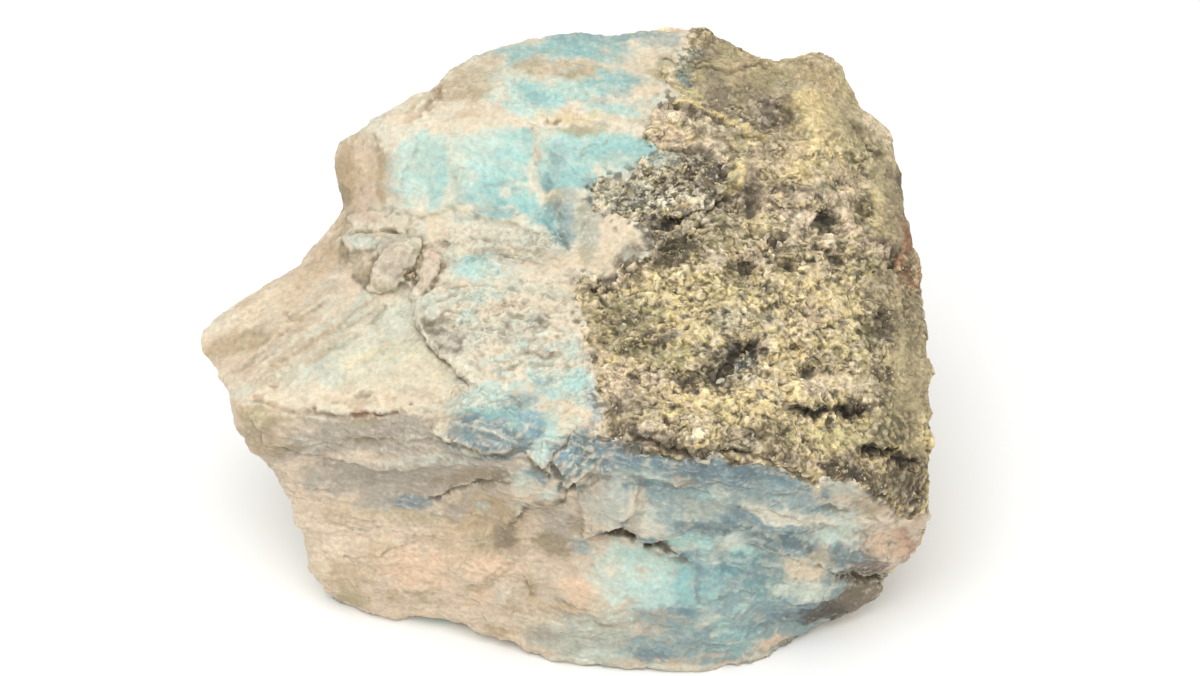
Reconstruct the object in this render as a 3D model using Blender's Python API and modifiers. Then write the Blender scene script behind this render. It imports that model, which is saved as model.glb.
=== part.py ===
"""Raw larimar: a hand-sized lump of blue pectolite, still grown onto its dark host rock.

The stone is one piece. It is laid out in a sight frame: u runs to the right, v runs up and w runs
towards the viewer, along a line of sight that looks down on the stone from the front. Ridges, hollows
and the rim are named lines in that frame. A triangulated skin is stretched over them, evened out,
weathered by fields that lift ledges and sink cracks and pits, thinned, and cut flat where it rests.
"""

import math

import bmesh
import bpy
import numpy as np
from mathutils import Vector, noise
from mathutils.geometry import delaunay_2d_cdt

MM = 0.001

# The sight frame: how far it is tipped from the horizontal, where it is centred, and the eye's distance.
SIGHT_TILT = math.radians(38.0)
SIGHT_HEIGHT = 38.7
SIGHT_SHIFT = (0.4, -11.7)
EYE_DISTANCE = 450.0
SIN_TILT = math.sin(SIGHT_TILT)
COS_TILT = math.cos(SIGHT_TILT)
TO_EYE = np.array((0.0, -COS_TILT, SIN_TILT))

# Mesh sizes, in millimetres, and the most triangles that the finished solid may have.
SKIN_CELL = 0.75
SMOOTH_ROUNDS = 3
TRIANGLES = 10200
# Softening wears the outline back by about this much, so the rim starts that much larger.
RIM_SWELL = 0.35
# Behind the rim the skin runs straight back by this much, pulled in by this share.
SHOULDER_DEPTH = 5.0
SHOULDER_DRAW = 0.97

# The contact between blue mineral and host rock, as two planes: (point, direction into the host).
CONTACT_PLANES = [
    ((5.0, -35.0, 39.0), (0.42, -0.38, 0.82)),
    ((17.0, 27.0, 30.0), (0.85, 0.52, 0.0)),
]
CONTACT_SOFTNESS = 1.5

# The rim: the stone's outline as (u, v, w), clockwise from the tip of the nose.
RIM = [
    (-50.0, 1.1, -4.8), (-49.4, 2.6, -4.5), (-46.4, 4.9, -5.7), (-41.8, 8.3, -7.5),
    (-36.0, 12.1, -9.9), (-32.2, 16.2, -12.5), (-30.1, 19.2, -13.3), (-31.0, 23.0, -11.7),
    (-31.8, 26.3, -11.0), (-31.0, 27.6, -10.5), (-27.1, 30.3, -9.7), (-23.4, 32.7, -10.4),
    (-18.4, 35.9, -11.2), (-15.1, 38.6, -13.0), (-10.8, 40.4, -14.4), (-6.6, 41.5, -15.1),
    (-0.3, 42.6, -15.7), (6.8, 42.6, -16.2), (10.1, 43.4, -17.2), (13.0, 43.8, -18.0),
    (18.9, 43.4, -19.0), (22.2, 42.1, -19.0), (25.6, 40.8, -18.5), (27.3, 39.5, -17.5),
    (29.3, 39.0, -17.5), (32.7, 39.6, -19.0), (36.0, 39.9, -20.0), (37.5, 38.8, -19.5),
    (38.4, 35.8, -17.5), (40.3, 33.8, -17.0), (40.5, 31.5, -15.5), (42.3, 30.3, -15.5),
    (44.4, 29.0, -15.5), (45.5, 27.1, -14.5), (45.5, 24.2, -12.5), (46.2, 20.0, -10.0),
    (47.4, 15.3, -7.0), (48.4, 11.6, -4.5), (48.8, 6.0, -1.0), (49.1, 0.8, 1.5),
    (50.0, -2.7, 3.5), (49.8, -10.4, 4.5), (49.6, -15.6, 3.5), (49.6, -23.3, -0.5),
    (48.9, -26.2, -4.0), (46.8, -28.5, -8.0), (44.8, -31.2, -10.0), (41.9, -34.2, -11.5),
    (37.0, -37.0, -11.5), (32.2, -39.0, -10.4), (27.9, -41.5, -8.5), (25.2, -42.5, -7.5),
    (17.8, -44.0, -5.5), (9.7, -43.7, -5.9), (-0.7, -42.9, -6.2), (-5.8, -41.1, -7.6),
    (-10.4, -38.9, -8.0), (-16.6, -36.7, -10.0), (-24.1, -36.4, -13.6), (-30.3, -34.4, -15.4),
    (-33.2, -32.5, -14.6), (-34.7, -28.8, -10.4), (-36.8, -22.7, -5.2), (-39.3, -17.9, -3.2),
    (-41.4, -15.3, -2.4), (-44.0, -12.5, -0.3), (-45.2, -10.1, 0.6), (-44.9, -7.8, 2.4),
    (-47.3, -3.4, -2.3), (-49.2, -1.0, -4.5),
]

# Lines on the side that faces the viewer, as (u, v, w).
FRONT_LINES = {
    "brow": [
        (-41.5, -8.8, 5.0), (-36.3, -8.9, 6.0), (-30.1, -8.9, 7.5), (-22.6, -8.5, 9.0),
        (-17.1, -10.5, 12.5), (-11.6, -13.6, 16.5), (-6.8, -14.0, 18.5), (-0.7, -14.6, 20.0),
        (5.5, -13.9, 20.5), (11.6, -14.7, 21.0), (17.1, -15.1, 21.0), (24.0, -15.3, 20.0),
        (30.8, -16.3, 18.0), (37.7, -17.8, 14.5), (43.2, -20.1, 9.5),
    ],
    "under_brow": [
        (-36.3, -12.6, 2.5), (-25.3, -14.0, 4.5), (-14.4, -16.5, 9.5), (-7.5, -19.0, 12.5),
        (7.5, -20.8, 15.0), (18.5, -20.8, 15.5), (29.5, -22.2, 11.5), (40.4, -24.9, 4.0),
    ],
    "wall_hollow": [
        (-36.3, -17.4, -1.0), (-29.5, -18.5, -1.0), (-19.9, -20.4, 0.5), (-11.6, -22.5, 3.0),
        (-4.8, -24.8, 5.5), (1.4, -27.0, 6.5), (13.7, -27.4, 9.0), (24.0, -29.0, 6.5),
        (36.3, -30.8, -0.5), (43.8, -30.6, -6.0),
    ],
    "wall_belly": [
        (-29.5, -27.7, -5.5), (-19.9, -29.0, -3.0), (-10.3, -31.1, 0.0), (-0.7, -34.5, 2.0),
        (11.6, -34.5, 4.5), (24.0, -35.9, 1.5), (33.6, -34.5, -2.0),
    ],
    "nose_crease": [(-43.8, -6.0, 2.5), (-36.3, 0.4, 0.5), (-28.1, 5.2, -1.5), (-21.9, 8.2, -2.0)],
    "nose_top": [(-43.2, 2.5, -2.5), (-36.3, 7.9, -5.0), (-30.8, 13.4, -8.0)],
    "sail": [(-32.0, -4.5, 5.0), (-25.3, -3.0, 5.0)],
    "block_foot": [(-20.6, 5.8, -0.5), (-18.5, 0.8, 3.0), (-14.8, -3.7, 7.5)],
    "block_edge": [
        (-18.2, 11.0, -0.5), (-19.4, 6.8, 2.5), (-17.0, 2.2, 6.0), (-13.6, -1.9, 9.5), (-9.6, -5.5, 12.5),
    ],
    "cluster": [(-28.5, 15.8, -8.0), (-22.6, 15.0, -3.5), (-22.9, 9.8, -1.0), (-27.9, 9.4, -3.5)],
    "bench": [(-8.9, 11.8, 1.0), (-0.7, 8.6, 4.5)],
    "slab_foot": [
        (-27.4, 20.3, -9.5), (-22.6, 19.6, -6.0), (-17.1, 16.8, -4.0), (-8.9, 15.9, -3.0),
        (-0.7, 14.1, -1.0), (4.8, 11.8, 1.5),
    ],
    "slab_top": [
        (-22.6, 29.9, -6.5), (-15.8, 30.6, -5.0), (-8.9, 30.5, -4.2), (-0.7, 30.5, -4.5),
        (10.3, 29.2, -4.5),
    ],
    "crown": [(-15.8, 34.6, -8.5), (-6.2, 36.5, -9.0), (4.8, 36.5, -9.0), (18.5, 39.5, -13.5)],
    "host_low": [(11.6, -7.1, 17.5), (25.3, -7.1, 17.0), (39.0, -9.9, 11.5), (44.5, -12.6, 8.0)],
    "host_middle": [(7.5, 6.6, 7.5), (18.5, 9.3, 8.0), (32.2, 6.6, 8.0), (43.2, 2.5, 5.5)],
    "host_high": [(18.5, 23.0, 0.0), (32.2, 20.3, -0.5), (41.8, 17.5, -2.5)],
    "host_crown": [(13.0, 33.6, -6.5), (24.0, 32.6, -8.0), (34.9, 31.2, -9.5)],
}

# Points on the far side and underneath, as (x, y, z) in the stone's own frame.
BACK_LINES = {
    "base": [
        (-24.0, -9.0, -3.0), (-10.0, -17.0, -3.0), (2.0, -21.0, -3.0), (15.0, -22.0, -3.0),
        (27.0, -19.0, -3.0), (36.0, -12.0, -3.0), (38.0, 3.0, -3.0), (30.0, 17.0, -3.0),
        (8.0, 23.0, -3.0), (-14.0, 17.0, -3.0), (-27.0, 1.0, -3.0),
    ],
    "low_back": [
        (44.0, -3.0, 12.0), (42.0, 17.0, 12.0), (28.0, 29.0, 12.0), (6.0, 33.0, 11.0),
        (-18.0, 27.0, 13.0), (-34.0, 11.0, 16.0), (-36.0, -5.0, 18.0),
    ],
    "mid_back": [
        (48.0, 7.0, 30.0), (46.0, 21.0, 32.0), (34.0, 32.0, 34.0), (12.0, 37.0, 36.0),
        (-12.0, 34.0, 36.0), (-30.0, 23.0, 34.0), (-40.0, 7.0, 30.0), (-44.0, -3.0, 30.0),
    ],
    "high_back": [
        (40.0, 32.0, 48.0), (22.0, 37.0, 50.0), (0.0, 35.0, 52.0), (-16.0, 29.0, 50.0),
        (-28.0, 20.0, 44.0),
    ],
}

# Raised blocks of the near side: (outline as (u, v), lift).
BLOCKS = {
    "cluster_top": (
        [
            (-30.4, 14.8), (-29.5, 17.1), (-24.7, 18.6), (-21.0, 17.8), (-22.1, 16.2), (-24.7, 16.4),
            (-29.2, 15.8),
        ],
        1.0,
    ),
    "cluster_left": (
        [
            (-30.3, 14.4), (-29.2, 15.6), (-22.6, 15.8), (-22.3, 14.8), (-25.6, 13.2), (-27.3, 11.0),
            (-27.5, 8.5), (-29.5, 9.9),
        ],
        1.2,
    ),
    "cluster_block": (
        [
            (-25.1, 12.5), (-22.1, 15.1), (-19.9, 15.3), (-20.1, 11.8), (-22.3, 7.9), (-26.6, 7.8),
            (-27.1, 10.4),
        ],
        1.8,
    ),
    "cluster_prism": (
        [
            (-19.3, 14.8), (-17.4, 11.8), (-17.9, 9.3), (-19.9, 6.6), (-21.0, 7.4), (-21.2, 8.8),
            (-19.9, 11.8),
        ],
        1.0,
    ),
}
BLOCK_EDGE = 1.2

# Ledges of the near side: (line as (u, v), height, how far it takes to die out). The side to the left
# of the line, going along it, stands out.
LEDGES = {
    "block_edge": (
        [
            (-17.5, 8.6), (-19.9, 6.2), (-20.4, 4.1), (-19.3, 1.5), (-17.1, -1.2), (-15.1, -2.7),
            (-13.3, -4.7), (-11.4, -6.0),
        ],
        1.3, 5.0,
    ),
    "brow_lump": (
        [
            (-18.8, -11.0), (-15.5, -12.7), (-12.3, -13.7), (-8.9, -14.4), (-5.3, -13.6),
        ],
        1.4, 4.0,
    ),
    "brow_shards": (
        [
            (-5.3, -14.2), (-3.0, -16.6), (-1.8, -15.1), (-0.7, -17.0), (0.1, -18.6), (2.6, -17.5),
            (4.8, -15.1),
        ],
        1.5, 4.0,
    ),
    "pale_band": (
        [
            (-39.6, -15.5), (-31.5, -15.1), (-26.4, -16.7), (-17.1, -16.2), (-8.2, -16.0),
            (-7.0, -17.8), (-5.9, -19.5),
        ],
        1.1, 5.0,
    ),
    "under_flake": (
        [
            (-7.8, -24.1), (-5.6, -21.8), (-2.7, -21.0), (0.1, -20.4),
        ],
        1.0, 4.0,
    ),
    "grey_flake": (
        [
            (2.9, -25.8), (5.1, -25.1), (7.3, -24.2), (9.2, -21.6), (10.7, -18.4),
        ],
        1.5, 6.0,
    ),
    "wall_ledge": (
        [
            (23.3, -26.4), (30.8, -28.1), (35.2, -29.5), (37.9, -30.7), (44.9, -31.0),
        ],
        1.2, 5.0,
    ),
    "foot_ledge": (
        [
            (-1.8, -33.6), (0.7, -35.2), (3.4, -35.6), (4.8, -37.3), (9.2, -38.1),
        ],
        0.8, 4.0,
    ),
    "left_fold": (
        [
            (-43.2, -8.8), (-42.1, -10.5), (-41.2, -12.7), (-38.2, -13.6), (-36.0, -14.5),
            (-31.9, -14.7),
        ],
        0.8, 4.0,
    ),
    "rib": (
        [
            (-15.1, -32.9), (-11.6, -31.5), (-8.9, -29.5), (-5.9, -28.4),
        ],
        0.9, 4.0,
    ),
    "host_brow": (
        [
            (5.6, -12.7), (11.0, -12.3), (16.3, -14.0), (18.1, -15.3), (21.5, -14.0), (25.6, -14.2),
            (30.3, -15.8), (34.2, -17.8),
        ],
        1.2, 3.5,
    ),
    "host_ledge": (
        [
            (29.2, -7.0), (31.8, -7.8), (33.8, -8.9), (36.8, -7.5),
        ],
        1.1, 4.0,
    ),
    "host_gap": (
        [
            (40.1, -13.8), (43.7, -14.9), (46.2, -15.8), (48.9, -15.3),
        ],
        1.6, 4.0,
    ),
    "host_curl": (
        [
            (10.3, 33.6), (16.2, 33.4), (21.2, 31.5), (24.7, 29.6), (28.4, 28.9),
        ],
        -0.9, 4.0,
    ),
    "host_lip": (
        [
            (13.0, 27.5), (18.5, 27.7), (21.5, 26.0), (23.7, 25.8),
        ],
        -0.9, 4.0,
    ),
    "slab_left": (
        [
            (-26.4, 29.5), (-25.2, 25.8), (-25.6, 21.9), (-24.8, 19.3),
        ],
        0.6, 4.0,
    ),
}
LEDGE_EDGE = 0.9

# Cracks and seams of the near side: (line as (u, v), depth, half width).
CRACKS = {
    "wall_crack": (
        [
            (4.5, -25.1), (6.8, -24.8), (9.6, -25.9), (11.1, -26.7), (12.9, -27.0), (17.1, -29.2),
        ],
        1.5, 0.9,
    ),
    "low_crack": (
        [
            (36.3, -30.7), (39.0, -31.2), (42.1, -31.1), (45.5, -31.4),
        ],
        1.4, 0.9,
    ),
    "under_shards": (
        [
            (0.1, -18.9), (2.7, -18.4), (4.5, -16.4),
        ],
        1.0, 0.9,
    ),
    "host_crevice": (
        [
            (11.6, 16.2), (16.0, 17.4), (19.2, 18.6), (22.2, 19.5), (24.2, 22.5),
        ],
        1.5, 1.0,
    ),
    "host_branch": (
        [
            (22.2, 19.5), (19.6, 17.5), (17.4, 14.2),
        ],
        1.2, 0.9,
    ),
    "slab_crease": (
        [
            (-4.4, 30.1), (-3.3, 26.4), (-2.3, 22.3), (-0.5, 18.5), (0.7, 15.1),
        ],
        0.9, 1.1,
    ),
    "slab_fold": (
        [
            (-14.4, 29.3), (-14.8, 25.8), (-15.1, 21.9),
        ],
        0.6, 1.4,
    ),
    "cluster_crack": (
        [
            (-19.6, 15.3), (-20.1, 11.8), (-21.5, 9.3),
        ],
        1.3, 0.8,
    ),
    "cluster_seam": (
        [
            (-28.9, 16.0), (-25.3, 16.2), (-22.3, 16.0),
        ],
        1.0, 0.8,
    ),
    "cluster_cleft": (
        [
            (-25.2, 12.9), (-27.0, 10.7), (-27.4, 7.9),
        ],
        1.0, 0.9,
    ),
    "prism_side": (
        [
            (-17.0, 11.8), (-17.5, 9.3), (-19.3, 6.6),
        ],
        1.0, 0.8,
    ),
}

# Round pits (negative) and nodules: (u, v, radius, height).
PITS_AND_NODULES = [
    (-21.0, 10.0, 1.6, -1.3), (24.7, 11.0, 2.1, -1.3), (30.4, 11.4, 1.7, -1.2),
    (35.6, 17.5, 1.9, -1.4), (23.7, -0.5, 2.8, -1.0), (21.5, -4.1, 2.4, -0.9), (25.6, 20.5, 2.2, -0.8),
    (29.2, 14.8, 1.4, -0.8), (36.8, 12.6, 1.6, -0.9), (39.0, -8.2, 2.2, -1.2), (16.6, -4.9, 1.7, -0.8),
    (33.8, -3.0, 1.5, -0.8), (29.2, 31.5, 2.6, -0.8), (8.9, 11.2, 1.4, 1.3), (3.4, 8.1, 1.6, 0.9),
    (12.3, 13.2, 2.0, 1.0), (18.5, -12.6, 2.6, 1.3), (34.9, 37.8, 3.4, 0.9), (4.8, -20.5, 4.0, 0.6),
]

# Fractures of the far side and the foot: each site breaks along its own plane.
FRACTURE_SEED = 7
FRACTURE_SITES = 150
FRACTURE_SCATTER = 0.09
FRACTURE_REACH = 6.5
FRACTURE_TILT = 0.17
FRACTURE_STEP = 0.7
FRACTURE_EDGE = 0.8
FRACTURE_LIMIT = 2.2

# Weathering by noise, as (size of a feature, height), all in millimetres.
SWELLS = [(26.0, 1.1), (11.0, 0.55)]
MINERAL_GRAIN = [(6.0, 0.30), (3.2, 0.16)]
HOST_GRAIN = [(7.0, 0.50), (3.6, 0.45)]


def clear_scene():
    for obj in list(bpy.data.objects):
        bpy.data.objects.remove(obj)


def placed(u, v, w):
    """A point of the sight frame in the stone's own frame: x right, y away and z up, in millimetres."""
    reach = 1.0 - w / EYE_DISTANCE
    u, v = u * reach, v * reach
    return Vector((
        u + SIGHT_SHIFT[0],
        v * SIN_TILT - w * COS_TILT + SIGHT_SHIFT[1],
        SIGHT_HEIGHT + v * COS_TILT + w * SIN_TILT,
    ))


def sighted(x, y, z):
    """The same turned round: a point of the stone's own frame, or arrays of them, as (u, v, w)."""
    y, z = y - SIGHT_SHIFT[1], z - SIGHT_HEIGHT
    w = z * SIN_TILT - y * COS_TILT
    reach = 1.0 - w / EYE_DISTANCE
    return (x - SIGHT_SHIFT[0]) / reach, (y * SIN_TILT + z * COS_TILT) / reach, w


def swollen_rim():
    """The rim, moved outwards by RIM_SWELL from its own centre."""
    return [(u * (1 + RIM_SWELL / math.hypot(u, v)), v * (1 + RIM_SWELL / math.hypot(u, v)), w)
            for u, v, w in RIM]


def add_sheet(bm, lines, faces_viewer):
    """Triangulates the rim and the lines inside it, and adds the sheet to the mesh."""
    points = swollen_rim()
    creases = []
    for line in lines:
        start = len(points)
        points.extend(line)
        creases.extend((i, i + 1) for i in range(start, len(points) - 1))
    flat = [Vector((u, v)) for u, v, _ in points]
    outline = list(range(len(RIM)))[::-1]
    made, _, faces, origins, _, _ = delaunay_2d_cdt(flat, creases, [outline], 1, 1e-6)
    verts = [bm.verts.new(placed(*points[origin[0]])) for origin in origins[: len(made)]]
    for face in faces:
        bm.faces.new([verts[i] for i in (face if faces_viewer else face[::-1])])


def rough_stone():
    """The closed skin over the named lines, before weathering."""
    bm = bmesh.new()
    add_sheet(bm, FRONT_LINES.values(), True)
    back = [[sighted(*point) for point in line] for line in BACK_LINES.values()]
    shoulder = [(u * SHOULDER_DRAW, v * SHOULDER_DRAW, w - SHOULDER_DEPTH) for u, v, w in RIM]
    add_sheet(bm, back + [shoulder], False)
    bmesh.ops.remove_doubles(bm, verts=bm.verts[:], dist=1e-4)
    mesh = bpy.data.meshes.new("stone_skin")
    bm.to_mesh(mesh)
    bm.free()
    return mesh


def applied(obj):
    """The object's mesh with its modifiers applied, the modifiers being removed."""
    graph = bpy.context.evaluated_depsgraph_get()
    mesh = bpy.data.meshes.new_from_object(obj.evaluated_get(graph))
    obj.modifiers.clear()
    obj.data = mesh
    return obj


def even_skin(obj):
    remesh = obj.modifiers.new("even", "REMESH")
    remesh.mode = "VOXEL"
    remesh.voxel_size = SKIN_CELL
    smooth = obj.modifiers.new("soften", "SMOOTH")
    smooth.factor = 0.5
    smooth.iterations = SMOOTH_ROUNDS
    return applied(obj)


def smooth_step(t):
    t = np.clip(t, 0.0, 1.0)
    return t * t * (3.0 - 2.0 * t)


def line_distance(u, v, line):
    """How far each point lies from a line, its side (+1 to the left) and its share of the way along."""
    nearest = np.full(len(u), np.inf)
    side = np.zeros(len(u))
    share = np.zeros(len(u))
    for i, ((u0, v0), (u1, v1)) in enumerate(zip(line, line[1:])):
        du, dv = u1 - u0, v1 - v0
        along = np.clip(((u - u0) * du + (v - v0) * dv) / (du * du + dv * dv), 0.0, 1.0)
        distance = np.hypot(u - u0 - along * du, v - v0 - along * dv)
        closer = distance < nearest
        nearest = np.where(closer, distance, nearest)
        side = np.where(closer, np.sign(du * (v - v0) - dv * (u - u0)), side)
        share = np.where(closer, (i + along) / (len(line) - 1), share)
    return nearest, side, share


def inside_depth(u, v, outline):
    """The distance to the outline, positive inside it."""
    closed = outline + outline[:1]
    inside = np.zeros(len(u), bool)
    for (u0, v0), (u1, v1) in zip(closed, closed[1:]):
        if v0 != v1:
            inside ^= ((v0 > v) != (v1 > v)) & (u < (u1 - u0) * (v - v0) / (v1 - v0) + u0)
    return np.where(inside, 1.0, -1.0) * line_distance(u, v, closed)[0]


def ledge_lift(u, v, line, height, reach):
    """A step up on the left of the line that dies out behind it and towards its ends."""
    distance, side, share = line_distance(u, v, line)
    away = side * distance
    taper = smooth_step(6.0 * share) * smooth_step(6.0 * (1.0 - share))
    back_slope = np.exp(-np.maximum(away, 0.0) / reach)
    return height * taper * back_slope * smooth_step(0.5 + away / LEDGE_EDGE)


def noise_at(points, size, seed):
    """Smooth noise from -1 to 1, with features of the given size."""
    offset = Vector((seed * 17.3, seed * 5.1, seed * 9.7))
    return np.array([noise.noise(Vector(p) / size + offset) for p in points])


def host_share(points):
    """1 in the dark host rock and 0 in the blue mineral."""
    depth = np.full(len(points), -np.inf)
    for origin, direction in CONTACT_PLANES:
        depth = np.maximum(depth, (points - np.array(origin)) @ np.array(direction))
    return smooth_step(0.5 + (depth + 2.0 * noise_at(points, 9.0, 5)) / (2.0 * CONTACT_SOFTNESS))


def read_mesh(mesh):
    points = np.empty(len(mesh.vertices) * 3)
    normals = np.empty(len(mesh.vertices) * 3)
    mesh.vertices.foreach_get("co", points)
    mesh.vertices.foreach_get("normal", normals)
    return points.reshape(-1, 3), normals.reshape(-1, 3)


def write_mesh(mesh, points):
    mesh.vertices.foreach_set("co", points.ravel())
    mesh.update()


def spread_directions(count):
    """Directions spread evenly over a ball, as rows."""
    turn = np.arange(count) * math.pi * (3.0 - math.sqrt(5.0))
    height = 1.0 - (2.0 * np.arange(count) + 1.0) / count
    ring = np.sqrt(1.0 - height * height)
    return np.column_stack((ring * np.cos(turn), ring * np.sin(turn), height))


def fracture(mesh):
    """Breaks the sides that the sight line doesn't reach into flat facets with steps between them."""
    points, normals = read_mesh(mesh)
    toward_eye = normals @ TO_EYE
    outward = points - points.mean(axis=0)
    outward /= np.linalg.norm(outward, axis=1)[:, None]
    rng = np.random.default_rng(FRACTURE_SEED)
    planes = []
    for direction in spread_directions(FRACTURE_SITES):
        direction += rng.normal(0.0, FRACTURE_SCATTER, 3)
        centre = points[np.argmax(outward @ (direction / np.linalg.norm(direction)))]
        around = np.linalg.norm(points - centre, axis=1) < FRACTURE_REACH
        normal = normals[around].mean(axis=0)
        normal /= np.linalg.norm(normal)
        normal += rng.normal(0.0, FRACTURE_TILT, 3)
        normal /= np.linalg.norm(normal)
        planes.append((centre + normal * rng.uniform(-FRACTURE_STEP, FRACTURE_STEP), normal))
    distances = np.array([np.linalg.norm(points - centre, axis=1) for centre, _ in planes])
    weights = np.exp((distances.min(axis=0) - distances) / FRACTURE_EDGE)
    weights /= weights.sum(axis=0)
    hidden = smooth_step(0.5 - toward_eye * 2.5)
    well_hidden = smooth_step(-0.6 - toward_eye * 2.5)
    moved = points.copy()
    for weight, (centre, normal) in zip(weights, planes):
        above = np.clip((points - centre) @ normal, -FRACTURE_LIMIT * well_hidden, FRACTURE_LIMIT)
        moved -= normal * (weight * hidden * above)[:, None]
    write_mesh(mesh, moved)


def weather(mesh):
    """Lifts blocks, ledges and nodules, sinks cracks and pits, and roughens each kind of rock."""
    points, normals = read_mesh(mesh)
    u, v, _ = sighted(*points.T)
    facing = smooth_step(4.0 * (normals @ TO_EYE))
    lift = np.zeros(len(points))
    for outline, height in BLOCKS.values():
        lift += facing * height * smooth_step(0.5 + inside_depth(u, v, outline) / BLOCK_EDGE)
    for line, height, reach in LEDGES.values():
        lift += facing * ledge_lift(u, v, line, height, reach)
    for line, depth, half_width in CRACKS.values():
        lift -= facing * depth * np.exp(-((line_distance(u, v, line)[0] / half_width) ** 2))
    for pit_u, pit_v, radius, height in PITS_AND_NODULES:
        share = np.hypot(u - pit_u, v - pit_v) / radius
        lift += facing * height * np.exp(-(share**4))
    for seed, (size, height) in enumerate(SWELLS):
        lift += height * noise_at(points, size, seed) * (1.0 - 0.6 * facing)
    host = host_share(points)
    for seed, (size, height) in enumerate(HOST_GRAIN, 10):
        lift += host * height * noise_at(points, size, seed)
    for seed, (size, height) in enumerate(MINERAL_GRAIN, 20):
        lift += (1.0 - host) * height * noise_at(points, size, seed)
    write_mesh(mesh, points + normals * lift[:, None])


def thin_out(obj):
    """Takes triangles away where the surface is flattest, down to the named number."""
    thin = obj.modifiers.new("thin", "DECIMATE")
    thin.ratio = TRIANGLES / (2.0 * len(obj.data.polygons))
    thin.use_collapse_triangulate = True
    return applied(obj)


def cut_flat(mesh):
    """Cuts the stone off level where it rests, closes the cut, centres it and turns it to metres."""
    bm = bmesh.new()
    bm.from_mesh(mesh)
    bmesh.ops.bisect_plane(
        bm, geom=bm.verts[:] + bm.edges[:] + bm.faces[:], plane_co=(0, 0, 0), plane_no=(0, 0, -1),
        clear_outer=True,
    )
    bmesh.ops.holes_fill(bm, edges=[edge for edge in bm.edges if edge.is_boundary], sides=0)
    bmesh.ops.recalc_face_normals(bm, faces=bm.faces[:])
    corners = np.array([vert.co for vert in bm.verts])
    middle = (corners.min(axis=0) + corners.max(axis=0)) / 2.0
    bmesh.ops.translate(bm, vec=(-middle[0], -middle[1], 0.0), verts=bm.verts[:])
    bmesh.ops.scale(bm, vec=(MM, MM, MM), verts=bm.verts[:])
    bm.to_mesh(mesh)
    bm.free()


def stone_material():
    material = bpy.data.materials.new("raw_larimar")
    material.use_nodes = True
    shader = material.node_tree.nodes["Principled BSDF"]
    shader.inputs["Base Color"].default_value = (0.45, 0.62, 0.60, 1.0)
    shader.inputs["Roughness"].default_value = 0.65
    shader.inputs["Metallic"].default_value = 0.0
    return material


def main():
    clear_scene()
    collection = bpy.data.collections.new("raw_larimar")
    bpy.context.scene.collection.children.link(collection)
    stone = bpy.data.objects.new("larimar_stone", rough_stone())
    collection.objects.link(stone)
    even_skin(stone)
    fracture(stone.data)
    weather(stone.data)
    thin_out(stone)
    cut_flat(stone.data)
    stone.data.materials.append(stone_material())


main()
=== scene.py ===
# %% [markdown]
# # Raw larimar
#
# Larimar is blue pectolite. It grew in a crack of dark basalt, and this hand-sized lump still carries a
# cap of that host rock. The lesson makes it in seven steps: load the plain solid, set the eye and the
# light, give the solid a fine skin, break that skin the way the two rocks break, stain it, turn the
# stains into materials, and strew the host rock with its crystals.

# %% Load the plain solid
import math

import bmesh
import bpy
import numpy as np
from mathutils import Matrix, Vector, noise


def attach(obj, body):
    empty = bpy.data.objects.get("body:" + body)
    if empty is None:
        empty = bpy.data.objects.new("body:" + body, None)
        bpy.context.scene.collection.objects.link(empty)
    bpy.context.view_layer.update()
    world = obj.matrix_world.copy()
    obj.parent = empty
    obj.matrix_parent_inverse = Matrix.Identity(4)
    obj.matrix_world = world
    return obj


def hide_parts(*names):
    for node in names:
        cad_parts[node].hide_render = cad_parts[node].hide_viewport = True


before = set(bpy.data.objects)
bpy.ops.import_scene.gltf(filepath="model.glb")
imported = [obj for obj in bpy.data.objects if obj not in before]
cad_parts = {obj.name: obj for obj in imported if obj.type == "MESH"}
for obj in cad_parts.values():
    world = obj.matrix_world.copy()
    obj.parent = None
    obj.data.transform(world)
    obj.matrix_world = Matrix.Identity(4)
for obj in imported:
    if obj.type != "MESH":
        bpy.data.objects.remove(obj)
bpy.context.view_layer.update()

# %% [markdown]
# ## The sight frame
#
# Everything on the front of the stone is placed in one flat drawing frame: u runs to the right and v
# upwards, both in millimetres, as seen by an eye 450 mm away that looks 38 degrees down. Placing marks in
# x, y and z would need a guess at the surface's depth for each one; a flat drawing frame does not, because
# the surface itself says how deep a mark lies.

# %% The sight frame
MM = 0.001
SIGHT_TILT = math.radians(38.0)
SIGHT_CENTRE = np.array((0.39, -11.77, 38.7))
EYE_DISTANCE = 450.0
TO_EYE = np.array((0.0, -math.cos(SIGHT_TILT), math.sin(SIGHT_TILT)))
SIGHT_RIGHT = np.array((1.0, 0.0, 0.0))
SIGHT_UP = np.array((0.0, math.sin(SIGHT_TILT), math.cos(SIGHT_TILT)))


def sighted(points):
    """The (u, v) of points given in millimetres."""
    from_centre = points - SIGHT_CENTRE
    reach = 1.0 - (from_centre @ TO_EYE) / EYE_DISTANCE
    return from_centre[:, 0] / reach, (from_centre @ SIGHT_UP) / reach


# %% [markdown]
# ## The camera
#
# A long lens close to a small stone keeps its outline as the eye sees it. The lens follows from the width
# of the frame at the stone's middle and the eye's distance. A small shift sets the stone a little left
# of the frame's middle and a little below it, without turning the camera.

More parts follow.
